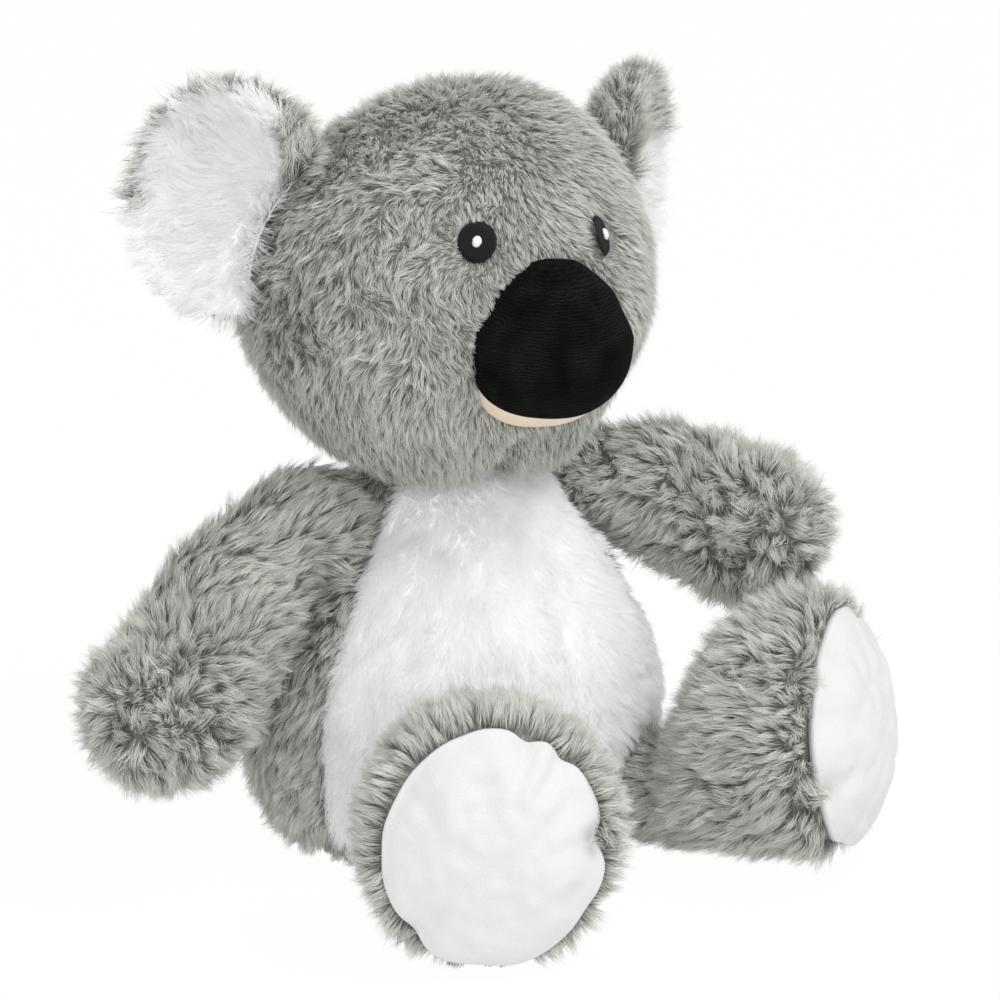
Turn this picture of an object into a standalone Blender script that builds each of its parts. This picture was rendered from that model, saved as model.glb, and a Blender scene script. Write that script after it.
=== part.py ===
"""Seated plush koala, sewn from pile fabric panels over fibre filling.

Metres, +Z up. The toy faces -Y, its own left is +X, and the origin is the middle of the flat seat.
Each soft form is built from rings of named sizes. A cover is the outer form less its filling, open where it
is sewn to its neighbour. Limbs and head turn on round roots, so that a seam stays closed through its range.
"""

from math import ceil, cos, pi, radians, sin, sqrt, tan

import bmesh
import bpy
from mathutils import Matrix, Vector

# Cloth and fits
PILE_CLOTH = 0.008          # backing and standing pile together
WHITE_PILE_CLOTH = 0.007
WHITE_PILE_EDGE = 0.003
SHORT_PILE_CLOTH = 0.003
SEAM_GAP = 0.0004           # between faces that lie still against each other
SLIDE_GAP = 0.0008          # between a round root and the hollow it turns in
CUT_OVERRUN = 0.01          # how far a cutter runs past what it cuts

# Torso
BELLY_RADIUS = 0.077
BELLY_HEIGHT = 0.046
SEAT_RADIUS = 0.058
NECK_RADIUS = 0.045         # the rounded top of the torso, which the head sits on
NECK_PIVOT_HEIGHT = 0.104
NECK_SEAM_ANGLE = radians(38)
NECK_SLOPE_ANGLE = radians(60)
SHOULDER_SLOPE_REACH = 0.030
BELLY_UPPER_REACH = 0.028
BELLY_LOWER_REACH = 0.023
SEAT_EDGE_REACH = 0.012
PANEL_HALF_ANGLE = radians(72)
PANEL_HEM_HEIGHT = 0.010
BEAN_BAG_RADIUS = 0.034
BEAN_BAG_THICKNESS = 0.018

# Head
HEAD_RADIUS = 0.0725
HEAD_SEAT_DEPTH = 0.021     # how deep the top of the torso sits in the head
HEAD_TURN = radians(-5)     # towards its right
HEAD_TILT = radians(4)      # towards its left shoulder
CROWN_SLOPE_SHARE = 0.12    # how much the back of the crown falls inside a ball
CROWN_HEIGHT_SHARE = 0.94   # of the head's radius
CHEEK_SHARE = 0.045         # how much the cheeks swell outside it
NOSE_HALF_WIDTH = 0.0290
NOSE_HALF_HEIGHT = 0.0277
NOSE_HALF_DEPTH = 0.026
NOSE_SINK = 0.0020          # of the nose's middle behind the face
NOSE_DROP = 0.0065
NOSE_TAPER_SHARE = 0.17     # how much narrower the top of the nose is than its middle
LIP_DROP = 0.0080           # of the lip's middle below the nose's
LIP_INSET = 0.0040          # how much smaller the lip is than the nose all round
LIP_SETBACK = 0.006
LIP_CORNER_HEIGHT = 0.014   # of the mouth's corners below the middle of the nose
EYE_ANGLE = radians(22)
EYE_RISE = 0.0277
EYE_HALF_WIDTH = 0.0066
EYE_HALF_HEIGHT = 0.0070
EYE_THICKNESS = 0.0016
EYE_HOLLOW_RADIUS = 0.0105
EYE_HOLLOW_DEPTH = 0.002
GLINT_RADIUS = 0.0020
GLINT_THICKNESS = 0.0006

# Ears
EAR_HALF_WIDTH = 0.036
EAR_HALF_HEIGHT = 0.0430
EAR_BACK_DEPTH = 0.022
EAR_CUP_DEPTH = 0.009
EAR_RIM_RADIUS = 0.0045
EAR_LINING_SHARE = 0.88     # size of the white lining against the whole ear
EAR_ANGLE = radians(45)     # which way the lining faces, out from straight ahead
EAR_HINGE_BACK = 0.0125     # of the ear's seam, which lies on the head
EAR_HINGE_RISE = 0.0272
EAR_HINGE_DEPTH = 0.014     # of the seam behind the rim of the lining
EAR_TUCK = 0.0257           # how far the ear's oval would reach behind its seam
EAR_ROOT_RADIUS = 0.008
EAR_RIM_BULGE = 0.0012
EAR_FLOP = radians(10)

# Arms
SHOULDER_REACH = 0.0075     # of the shoulder outside the neck
SHOULDER_BACK = 0.006
SHOULDER_RISE = 0.013       # above the neck's pivot
ARM_ROOT_RADIUS = 0.022
ARM_WAIST_RADIUS = 0.0197
ARM_MIDDLE_RADIUS = 0.0265
PAW_RADIUS = 0.0292
RIGHT_PAW = Vector((-0.0695, -0.014, -0.049))      # middle of the paw from its shoulder
RIGHT_ARM_START = Vector((-0.031, 0.000, 0.004))  # pull of the arm's curve at the shoulder
RIGHT_ARM_END = Vector((0.024, 0.010, 0.004))     # and at the paw
LEFT_PAW = Vector((0.0505, -0.047, -0.016))
LEFT_ARM_START = Vector((0.026, -0.008, 0.000))
LEFT_ARM_END = Vector((-0.010, 0.022, 0.004))
ARM_OPENING_RADIUS = 0.012

# Legs
HIP_SINK = 0.007            # of the leg's root behind the belly's widest reach
HIP_HEIGHT = 0.0255
RIGHT_LEG_SPLAY = radians(-29)
LEFT_LEG_SPLAY = radians(33)
LEFT_LEG_RAISE = radians(6)  # how high the photographed left leg stands off the floor at rest
LEG_ROOT_RADIUS = 0.0215
SHIN_RADIUS = 0.0205
SOLE_DISTANCE = 0.080       # of the sole's plane from the hip
FOOT_HALF_WIDTH = 0.045
FOOT_HALF_HEIGHT = 0.0472
FOOT_RIM = 0.004            # how far the plush rim stands past the sole's seam
SOLE_HALF_WIDTH = 0.0365
SOLE_HALF_HEIGHT = 0.0415
SOLE_BULGE = 0.009
SOLE_DROP = 0.0012          # of the sole's middle below the foot's
FLOOR_FLAT = 0.0005         # how much of a foot's underside the floor presses flat
LEG_OPENING_RADIUS = 0.012

# Shares of the sizes above that give the forms their run
BAG_PROFILE_SHARES = ((0, 1), (0.62, 0.9), (0.92, 0.68), (1, 0.4), (0.9, 0.1), (0.8, 0), (0, 0))
BAG_SPACE_SHARES = ((0.66, 1), (0.95, 0.75), (1, 0.42))
ARM_SWELL_SHARES = (0.20, 0.50, 0.8)     # of the arm's length: where its waist, middle, and paw are
PAW_START_SHARE = 0.97                   # of the paw's radius, where the paw begins
# Of the sole's distance, and of the foot's height and width, from the shin to the sole
FOOT_SHARES = (
    (0.235, 0.45, 0.50),
    (0.336, 0.60, 0.68),
    (0.482, 0.82, 0.88),
    (0.650, 0.96, 0.98),
    (0.842, 1.0, 1.0),
    (1.0, 0.985, 0.985),
)
SHIN_START_SHARE = 0.10                  # of the sole's distance
FOOT_RIM_SHARE = 0.93                    # of the foot's width, at the front edge of its rim
PATCH_SHARES = (0.93, 0.6)               # of a stitched patch's width, at its edges and at its flat top
SOLE_STRAIGHT_SHARE = 0.84               # of the sole's distance, where the foot's mouth turns straight

# Facets
TORSO_SIDES = 32
FILLING_SIDES = 20
HEAD_SIDES = 34
HEAD_RINGS = 18
HOLLOW_SIDES = 26
EAR_ROOT_SIDES = 14
LIMB_SIDES = 18
SWEEP_STEP = radians(6)
ROOT_TURNS = (radians(22), radians(45), radians(68), radians(90))
PAW_TURNS = (radians(24), radians(48), radians(70))

GREY = (0.29, 0.30, 0.27, 1.0)
WHITE = (0.85, 0.85, 0.83, 1.0)
BLACK = (0.010, 0.011, 0.010, 1.0)
PEACH = (0.62, 0.40, 0.29, 1.0)
FIBRE = (0.80, 0.80, 0.78, 1.0)
BEAN_CLOTH = (0.55, 0.52, 0.46, 1.0)

UP = Vector((0.0, 0.0, 1.0))
FORWARD = Vector((0.0, -1.0, 0.0))
LEFTWARD = Vector((1.0, 0.0, 0.0))


def clear_scene():
    for obj in list(bpy.data.objects):
        bpy.data.objects.remove(obj, do_unlink=True)


def material(name, colour, roughness):
    made = bpy.data.materials.new(name)
    made.use_nodes = True
    shader = made.node_tree.nodes["Principled BSDF"]
    shader.inputs["Base Color"].default_value = colour
    shader.inputs["Roughness"].default_value = roughness
    shader.inputs["Metallic"].default_value = 0.0
    made.diffuse_color = colour
    return made


def add_object(name, mesh, finish=None, parent=None, location=None):
    obj = bpy.data.objects.new(name, mesh)
    bpy.context.scene.collection.objects.link(obj)
    if finish:
        mesh.materials.append(finish)
    if location:
        obj.location = location
    obj.parent = parent
    return obj


def empty(name, location, turn=None, parent=None):
    obj = bpy.data.objects.new(name, None)
    bpy.context.scene.collection.objects.link(obj)
    obj.parent = parent
    obj.location = location
    if turn:
        obj.rotation_euler = turn.to_euler()
    return obj


def guide(obj):
    """Marks a cutter, which is no part of the toy."""
    obj.hide_render = True
    obj.display_type = "WIRE"
    return obj


def finish_mesh(name, bm):
    bmesh.ops.recalc_face_normals(bm, faces=bm.faces)
    mesh = bpy.data.meshes.new(name)
    bm.to_mesh(mesh)
    bm.free()
    mesh.shade_smooth()
    return mesh


def skin_rings(name, rings):
    """A closed mesh through rings of equally many points. A ring of one point closes an end."""
    bm = bmesh.new()
    rows = [[bm.verts.new(point) for point in ring] for ring in rings]
    for low, high in zip(rows, rows[1:]):
        count = max(len(low), len(high))
        for i in range(count):
            j = (i + 1) % count
            corners = [low[i % len(low)], low[j % len(low)], high[j % len(high)], high[i % len(high)]]
            bm.faces.new(list(dict.fromkeys(corners)))
    for end in (rows[0], rows[-1]):
        if len(end) > 1:
            bm.faces.new(end)
    return finish_mesh(name, bm)


def revolved(name, profile, sides):
    """Turns (radius, height) points about the upright axis."""
    rings = []
    for radius, height in profile:
        if radius == 0:
            rings.append([Vector((0.0, 0.0, height))])
            continue
        turns = [2 * pi * i / sides for i in range(sides)]
        rings.append([Vector((radius * sin(a), -radius * cos(a), height)) for a in turns])
    return skin_rings(name, rings)


def bezier(points, share):
    """A point on the cubic curve with these four control points, vectors or numbers."""
    a, b, c, d = points
    rest = 1 - share
    return a * rest**3 + b * (3 * rest**2 * share) + c * (3 * rest * share**2) + d * share**3


def bezier_slope(points, share):
    a, b, c, d = points
    rest = 1 - share
    return (b - a) * (3 * rest**2) + (c - b) * (6 * rest * share) + (d - c) * (3 * share**2)


def cut(target, *cutters, keep=False):
    """Takes the cutters away from the target, or keeps only what lies inside them."""
    for cutter in cutters:
        step = target.modifiers.new(cutter.name, "BOOLEAN")
        step.operation = "INTERSECT" if keep else "DIFFERENCE"
        step.object = cutter
        step.solver = "EXACT"


def join(target, other):
    step = target.modifiers.new(other.name, "BOOLEAN")
    step.operation = "UNION"
    step.object = other
    step.solver = "EXACT"


def ball(name, centre, radius, sides=20, parent=None):
    rows = sides // 2
    turns = [pi * i / rows for i in range(rows + 1)]
    profile = [(radius * sin(a) if 0 < i < rows else 0, radius * cos(a)) for i, a in enumerate(turns)]
    return guide(add_object(name, revolved(name, profile, sides), parent=parent, location=centre))


def block(name, low, high, parent=None, location=None):
    bm = bmesh.new()
    bmesh.ops.create_cube(bm, size=1.0)
    middle, size = (Vector(low) + Vector(high)) / 2, Vector(high) - Vector(low)
    for vert in bm.verts:
        vert.co = Vector([middle[k] + vert.co[k] * size[k] for k in range(3)])
    return guide(add_object(name, finish_mesh(name, bm), parent=parent, location=location))


def torso_profile(inset):
    """Radius and height from the neck's top to the seat, for the outside or a layer that lies inset."""
    radius = NECK_RADIUS - inset
    steps = 6
    points = [(0, NECK_PIVOT_HEIGHT + radius)]
    for i in range(1, steps + 1):
        angle = NECK_SLOPE_ANGLE * i / steps
        points.append((radius * sin(angle), NECK_PIVOT_HEIGHT + radius * cos(angle)))
    start = Vector((points[-1][0], points[-1][1]))
    widest = Vector((BELLY_RADIUS - inset, BELLY_HEIGHT))
    seat = Vector((SEAT_RADIUS - inset, inset))
    slope = Vector((cos(NECK_SLOPE_ANGLE), -sin(NECK_SLOPE_ANGLE)))
    upper = (
        start,
        start + slope * SHOULDER_SLOPE_REACH,
        widest + Vector((0.0, BELLY_UPPER_REACH)),
        widest,
    )
    lower = (widest, widest - Vector((0.0, BELLY_LOWER_REACH)), seat + Vector((SEAT_EDGE_REACH, 0.0)), seat)
    for curve, count in ((upper, 8), (lower, 5)):
        for i in range(1, count + 1):
            point = bezier(curve, i / count)
            points.append((point.x, point.y))
    return points + [(0, inset)]


def neck_plug_profile():
    """The wad of filling in the neck, between the torso's filling and the head."""
    outer = NECK_RADIUS
    inner = NECK_RADIUS - PILE_CLOTH
    rim = NECK_SEAM_ANGLE
    steps = 5
    above = [(outer * sin(rim * i / steps), outer * cos(rim * i / steps)) for i in range(steps + 1)]
    below = [(inner * sin(rim * i / steps), inner * cos(rim * i / steps)) for i in range(steps, -1, -1)]
    return [(radius, NECK_PIVOT_HEIGHT + height) for radius, height in above + below]


def front_slice(name, gap, bottom, top):
    """A slice of the torso's front between two flanks, which are moved outwards by the gap."""
    reach = BELLY_RADIUS * 2
    side, ahead = reach * sin(PANEL_HALF_ANGLE), reach * cos(PANEL_HALF_ANGLE)
    tip = UP.cross(LEFTWARD) * (gap / sin(PANEL_HALF_ANGLE))
    flanks = ((0.0, 0.0), (-side, ahead), (-side, reach), (side, reach), (side, ahead))
    bm = bmesh.new()
    for height in (bottom, top):
        ring = [bm.verts.new(tip + LEFTWARD * out + FORWARD * forth + UP * height) for out, forth in flanks]
        bm.faces.new(ring)
    bm.verts.ensure_lookup_table()
    low, high = bm.verts[:len(flanks)], bm.verts[len(flanks):]
    for i in range(len(flanks)):
        j = (i + 1) % len(flanks)
        bm.faces.new([low[i], low[j], high[j], high[i]])
    return guide(add_object(name, finish_mesh(name, bm)))


def head_point(direction, radius):
    """A point of the head's surface, from the head's middle: a ball with full cheeks and a sloping crown."""
    x, y, z = direction
    slope = max(0.0, 2 * y * z) if z > 0 else 0.0
    cheek = max(0.0, -2 * z * abs(x)) * (1 - max(0.0, -z)) * 2
    point = direction * radius * (1 - CROWN_SLOPE_SHARE * slope + CHEEK_SHARE * cheek)
    if z > 0:
        point.z *= CROWN_HEIGHT_SHARE
    return point


def head_mesh(name, radius, sides, rings):
    rows = []
    for i in range(rings + 1):
        polar = pi * i / rings
        if i in (0, rings):
            rows.append([head_point(Vector((0.0, 0.0, cos(polar))), radius)])
            continue
        turns = [2 * pi * k / sides for k in range(sides)]
        directions = [Vector((sin(polar) * sin(a), -sin(polar) * cos(a), cos(polar))) for a in turns]
        rows.append([head_point(direction, radius) for direction in directions])
    return skin_rings(name, rows)


def face_point(turn, rise):
    """Where the face's surface is, in the head's frame, at this turn from straight ahead and this height."""
    level = rise / HEAD_RADIUS
    flat = sqrt(1 - level * level)
    return head_point(Vector((flat * sin(turn), -flat * cos(turn), level)), HEAD_RADIUS)


def nose_mesh(name, centre, grow):
    """An egg lying in the face, narrower at the top."""
    rings, sides = 10, 24
    rows = []
    for i in range(rings + 1):
        polar = pi * i / rings
        if i in (0, rings):
            rows.append([centre + FORWARD * (NOSE_HALF_DEPTH + grow) * cos(polar)])
            continue
        row = []
        for k in range(sides):
            turn = 2 * pi * k / sides
            across, rise = sin(polar) * sin(turn), sin(polar) * cos(turn)
            taper = 1 - NOSE_TAPER_SHARE * max(0.0, rise) ** 1.5
            row.append(
                centre
                + LEFTWARD * across * taper * (NOSE_HALF_WIDTH + grow)
                + UP * rise * (NOSE_HALF_HEIGHT + grow)
                + FORWARD * cos(polar) * (NOSE_HALF_DEPTH + grow)
            )
        rows.append(row)
    return skin_rings(name, rows)


def patch_mesh(name, centre, outward, half_width, half_height, thickness, sides=20):
    """A low domed oval lying on a surface that faces outward."""
    across = UP.cross(outward).normalized()
    rise = outward.cross(across).normalized()

    def ring(share, height):
        return [
            centre
            + across * half_width * share * cos(2 * pi * k / sides)
            + rise * half_height * share * sin(2 * pi * k / sides)
            + outward * height
            for k in range(sides)
        ]

    side_share, top_share = PATCH_SHARES
    rows = [[centre], ring(side_share, 0.0), ring(1, thickness / 2), ring(side_share, thickness * side_share)]
    rows += [ring(top_share, thickness), [centre + outward * thickness]]
    return skin_rings(name, rows)


def ear_layer(name, side, size_share, top_depth, bottom_depth, rim):
    """One layer of the ear. Its frame has X out along the ear, Y up, and the lining facing Z times side."""
    sides, rings = 24, 4
    middle = EAR_HALF_WIDTH - EAR_TUCK

    def ring(share, depth, out=0.0):
        half_width = EAR_HALF_WIDTH * size_share * share + out
        half_height = EAR_HALF_HEIGHT * size_share * share + out
        turns = [2 * pi * k / sides for k in range(sides)]
        return [
            Vector((middle + half_width * cos(a), half_height * sin(a), side * (depth + EAR_HINGE_DEPTH)))
            for a in turns
        ]

    rows = [ring(0, top_depth(0))[:1]]
    rows += [ring(i / rings, top_depth(i / rings)) for i in range(1, rings + 1)]
    rows.append(ring(1, (top_depth(1) + bottom_depth(1)) / 2, rim))
    rows += [ring(i / rings, bottom_depth(i / rings)) for i in range(rings, 0, -1)]
    rows.append(ring(0, bottom_depth(0))[:1])
    return skin_rings(name, rows)


def ring_about(centre, across, upward, half_across, half_up, sides):
    """An oval ring of points."""
    turns = [2 * pi * k / sides for k in range(sides)]
    return [centre + across * half_across * cos(a) + upward * half_up * sin(a) for a in turns]


def arm_spine(start_pull, paw, end_pull):
    return (Vector((0.0, 0.0, 0.0)), start_pull, paw + end_pull, paw)


def arm_radius(share):
    """The arm's radius along its curve: drawn in at the seam, then swelling to the paw."""
    radii = (ARM_ROOT_RADIUS, ARM_WAIST_RADIUS, ARM_MIDDLE_RADIUS, PAW_RADIUS * PAW_START_SHARE, PAW_RADIUS)
    knots = list(zip((0, *ARM_SWELL_SHARES, 1), radii))
    for (low, a), (high, b) in zip(knots, knots[1:]):
        if share <= high:
            part = (share - low) / (high - low)
            ease = part * part * (3 - 2 * part)
            return a + (b - a) * ease
    return PAW_RADIUS


def arm_rings(spine, inset, sides, open_root=0.0):
    """Rings of an arm from its root to the paw's end. An open root is a straight neck of that length."""
    rings = []
    heading = bezier_slope(spine, 0).normalized()
    across = heading.cross(UP).normalized()
    upward = across.cross(heading).normalized()
    if open_root:
        radius = ARM_OPENING_RADIUS - inset
        for back in (open_root, 0):
            rings.append(ring_about(spine[0] - heading * back, across, upward, radius, radius, sides))
        shrink = inset + PILE_CLOTH
    else:
        shrink = inset
        radius = ARM_ROOT_RADIUS - inset
        rings.append([spine[0] - heading * radius])
        for polar in ROOT_TURNS:
            centre = spine[0] - heading * radius * cos(polar)
            rings.append(ring_about(centre, across, upward, radius * sin(polar), radius * sin(polar), sides))
    count = 8
    for i in range(1, count + 1):
        share = i / count
        centre = bezier(spine, share)
        heading = bezier_slope(spine, share).normalized()
        across = (across - heading * across.dot(heading)).normalized()
        upward = across.cross(heading).normalized()
        radius = arm_radius(share) - shrink
        rings.append(ring_about(centre, across, upward, radius, radius, sides))
    for polar in PAW_TURNS:
        radius = (PAW_RADIUS - shrink) * cos(polar)
        centre = spine[3] + heading * (PAW_RADIUS - shrink) * sin(polar)
        rings.append(ring_about(centre, across, upward, radius, radius, sides))
    rings.append([spine[3] + heading * (PAW_RADIUS - shrink)])
    return rings


def floor_standing(half_height):
    """The height from the hip of the middle of a section that stands on the floor."""
    return half_height - FLOOR_FLAT - HIP_HEIGHT


def leg_sections(inset):
    """(distance from the hip, height of the middle, half width, half height) along a leg."""
    shin_middle = SHIN_RADIUS + SEAM_GAP - HIP_HEIGHT
    sections = [(SOLE_DISTANCE * SHIN_START_SHARE, shin_middle, SHIN_RADIUS - inset, SHIN_RADIUS - inset)]
    for distance_share, height_share, width_share in FOOT_SHARES:
        half_height = FOOT_HALF_HEIGHT * height_share
        half_width = FOOT_HALF_WIDTH * width_share
        sections.append((SOLE_DISTANCE * distance_share, floor_standing(half_height), half_width - inset,
                         half_height - inset))
    return sections


def section_ring(distance, middle, half_width, half_height):
    """One oval across a leg."""
    return ring_about(FORWARD * distance + UP * middle, LEFTWARD, UP, half_width, half_height, LIMB_SIDES)


def leg_outer_rings():
    rings = [[-FORWARD * LEG_ROOT_RADIUS]]
    for polar in ROOT_TURNS:
        radius = LEG_ROOT_RADIUS * sin(polar)
        rings.append(section_ring(-LEG_ROOT_RADIUS * cos(polar), 0.0, radius, radius))
    sections = leg_sections(0.0)
    rings += [section_ring(*section) for section in sections]
    _, middle, half_width, half_height = sections[-1]
    front = SOLE_DISTANCE + FOOT_RIM
    rings.append(section_ring(front, middle, half_width * FOOT_RIM_SHARE, half_height * FOOT_RIM_SHARE))
    rings.append([FORWARD * front + UP * middle])
    return rings


def leg_hollow_rings(inset, start, end):
    """The space inside a leg, from the hip's opening out through the sole's opening."""
    radius = LEG_OPENING_RADIUS - inset
    rings = [section_ring(distance, 0.0, radius, radius) for distance in (start, 0.0)]
    rings += [section_ring(*section) for section in leg_sections(PILE_CLOTH + inset)[:-2]]
    middle = floor_standing(FOOT_HALF_HEIGHT) - SOLE_DROP
    mouth_width = SOLE_HALF_WIDTH + SEAM_GAP - inset
    mouth_height = SOLE_HALF_HEIGHT + SEAM_GAP - inset
    for distance in (SOLE_DISTANCE * SOLE_STRAIGHT_SHARE, end):
        rings.append(section_ring(distance, middle, mouth_width, mouth_height))
    return rings


def sole_rings():
    """A domed oval panel that closes the foot."""
    middle = floor_standing(FOOT_HALF_HEIGHT) - SOLE_DROP

    def ring(share, forward):
        return section_ring(forward, middle, SOLE_HALF_WIDTH * share, SOLE_HALF_HEIGHT * share)

    def dome(share):
        return SOLE_DISTANCE + SOLE_BULGE * (1 - share**2.4)

    ring_shares = (0.35, 0.65, 0.87, 1.0)
    rings = [[FORWARD * dome(0) + UP * middle]] + [ring(share, dome(share)) for share in ring_shares]
    rings += [ring(share, dome(share) - SHORT_PILE_CLOTH) for share in reversed(ring_shares)]
    rings.append([FORWARD * (dome(0) - SHORT_PILE_CLOTH) + UP * middle])
    return rings


def swept_hull(name, source, pivot, axis, reach):
    """One convex body around the source as a piece that swings about the axis meets it, turned both ways."""
    bm = bmesh.new()
    steps = ceil(reach / SWEEP_STEP)
    for i in range(-steps, steps + 1):
        turn = Matrix.Rotation(reach * i / steps, 4, axis)
        place = Matrix.Translation(pivot) @ turn @ Matrix.Translation(-pivot) @ source.matrix_world
        for vert in source.data.vertices:
            bm.verts.new(place @ vert.co)
    hull = bmesh.ops.convex_hull(bm, input=bm.verts)
    inner = set(hull["geom_interior"] + hull["geom_unused"])
    loose = [part for part in inner if isinstance(part, bmesh.types.BMVert)]
    bmesh.ops.delete(bm, geom=loose, context="VERTS")
    return guide(add_object(name, finish_mesh(name, bm)))


clear_scene()
grey_plush = material("grey_plush", GREY, 0.9)
white_plush = material("white_plush", WHITE, 0.9)
black_short_pile = material("black_short_pile", BLACK, 0.75)
black_thread = material("black_thread", BLACK, 0.45)
white_thread = material("white_thread", WHITE, 0.5)
white_short_pile = material("white_short_pile", WHITE, 0.85)
peach_felt = material("peach_felt", PEACH, 0.9)
fibre_filling = material("fibre_filling", FIBRE, 1.0)
bean_cloth = material("bean_cloth", BEAN_CLOTH, 0.9)

# Joint places and axes
neck_pivot = UP * NECK_PIVOT_HEIGHT
head_body = empty("head_body", neck_pivot, Matrix.Rotation(HEAD_TURN, 4, "Z"))
neck_body = empty("neck_body", neck_pivot)
head_frame = empty(
    "head_frame",
    UP * (NECK_RADIUS + HEAD_RADIUS - HEAD_SEAT_DEPTH),
    Matrix.Rotation(HEAD_TILT, 4, "Y"),
    parent=head_body,
)
shoulder_out = NECK_RADIUS + SHOULDER_REACH
shoulder_height = NECK_PIVOT_HEIGHT + SHOULDER_RISE
shoulders = {
    "r": Vector((-shoulder_out, SHOULDER_BACK, shoulder_height)),
    "l": Vector((shoulder_out, SHOULDER_BACK, shoulder_height)),
}
hip_radius = BELLY_RADIUS - HIP_SINK
arm_bodies = {key: empty(f"arm_{key}_body", place) for key, place in shoulders.items()}
leg_bodies = {}
for key, splay, raised in (("r", RIGHT_LEG_SPLAY, 0.0), ("l", LEFT_LEG_SPLAY, LEFT_LEG_RAISE)):
    hip = Vector((hip_radius * sin(splay), -hip_radius * cos(splay), HIP_HEIGHT))
    turn = Matrix.Rotation(splay, 4, "Z") @ Matrix.Rotation(-raised, 4, "X")
    leg_bodies[key] = empty(f"leg_{key}_body", hip, turn)

# Hollows that the round roots turn in
shoulder_hollows = [
    ball(f"shoulder_hollow_{key}", Vector(), ARM_ROOT_RADIUS + SLIDE_GAP, parent=arm_bodies[key])
    for key in shoulders
]
hip_hollows = [
    ball(f"hip_hollow_{key}", Vector(), LEG_ROOT_RADIUS + SLIDE_GAP, parent=leg_bodies[key])
    for key in leg_bodies
]
neck_hollow = ball("neck_hollow", neck_pivot, NECK_RADIUS + SLIDE_GAP, sides=TORSO_SIDES)

# Torso: cover, belly panel, filling, and bean bag
torso_top = NECK_PIVOT_HEIGHT + NECK_RADIUS + CUT_OVERRUN
torso_inside = guide(
    add_object("torso_inside", revolved("torso_inside", torso_profile(PILE_CLOTH), TORSO_SIDES))
)
opening_reach = NECK_RADIUS + CUT_OVERRUN
opening_gap = SEAM_GAP / cos(NECK_SEAM_ANGLE)
neck_opening = guide(
    add_object(
        "neck_opening",
        revolved(
            "neck_opening",
            [
                (0, NECK_PIVOT_HEIGHT + opening_reach),
                (opening_reach * tan(NECK_SEAM_ANGLE) + opening_gap, NECK_PIVOT_HEIGHT + opening_reach),
                (opening_gap, NECK_PIVOT_HEIGHT),
                (0, NECK_PIVOT_HEIGHT),
            ],
            TORSO_SIDES,
        ),
    )
)
panel_slice = front_slice("panel_slice", 0.0, PANEL_HEM_HEIGHT, torso_top)
cover_slice = front_slice("cover_slice", SEAM_GAP, PANEL_HEM_HEIGHT - SEAM_GAP, torso_top)

torso_cover = add_object("torso_cover", revolved("torso_cover", torso_profile(0), TORSO_SIDES), grey_plush)
cut(torso_cover, torso_inside, neck_opening, cover_slice, *shoulder_hollows, *hip_hollows)

belly_panel = add_object("belly_panel", revolved("belly_panel", torso_profile(0), TORSO_SIDES), white_plush)
cut(belly_panel, torso_inside, neck_opening)
cut(belly_panel, panel_slice, keep=True)
cut(belly_panel, *shoulder_hollows, *hip_hollows)

bag_profile = [(BEAN_BAG_RADIUS * out, BEAN_BAG_THICKNESS * rise) for out, rise in BAG_PROFILE_SHARES]
bag_base = UP * (PILE_CLOTH + SEAM_GAP)
seat_bean_bag = add_object(
    "seat_bean_bag", revolved("seat_bean_bag", bag_profile, FILLING_SIDES), bean_cloth, location=bag_base
)
space_radius, space_height = BEAN_BAG_RADIUS + SEAM_GAP * 2, BEAN_BAG_THICKNESS + SEAM_GAP
bag_space_profile = [(0, space_height)]
bag_space_profile += [(space_radius * out, space_height * rise) for out, rise in BAG_SPACE_SHARES]
bag_space_profile += [(space_radius, -CUT_OVERRUN), (0, -CUT_OVERRUN)]
bag_space = guide(
    add_object("bag_space", revolved("bag_space", bag_space_profile, FILLING_SIDES), location=bag_base)
)
torso_filling = add_object(
    "torso_filling",
    revolved("torso_filling", torso_profile(PILE_CLOTH + SEAM_GAP), TORSO_SIDES),
    fibre_filling,
)
cut(torso_filling, bag_space, *shoulder_hollows, *hip_hollows)

# Neck
neck_filling = add_object(
    "neck_filling",
    revolved("neck_filling", neck_plug_profile(), TORSO_SIDES),
    fibre_filling,
)
neck_filling.data.transform(Matrix.Translation(-neck_pivot))
neck_filling.parent = neck_body

# Ear places, and the hollows that their roots turn in
ear_hinge_out = sqrt(HEAD_RADIUS**2 - EAR_HINGE_BACK**2 - EAR_HINGE_RISE**2)
ear_bodies = {}
ear_hollows = []
for key, side in (("r", -1), ("l", 1)):
    along = Vector((side * cos(EAR_ANGLE), sin(EAR_ANGLE), 0.0))
    facing = Vector((side * sin(EAR_ANGLE), -cos(EAR_ANGLE), 0.0))
    frame = Matrix((along, UP, facing * side)).transposed().to_4x4()
    place = Vector((side * ear_hinge_out, EAR_HINGE_BACK, EAR_HINGE_RISE))
    ear_bodies[key] = empty(f"ear_{key}_body", place, frame, parent=head_frame)
    hollow_radius = EAR_ROOT_RADIUS + SLIDE_GAP
    ear_hollows.append(ball(f"ear_hollow_{key}", Vector(), hollow_radius, EAR_ROOT_SIDES, ear_bodies[key]))

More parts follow.
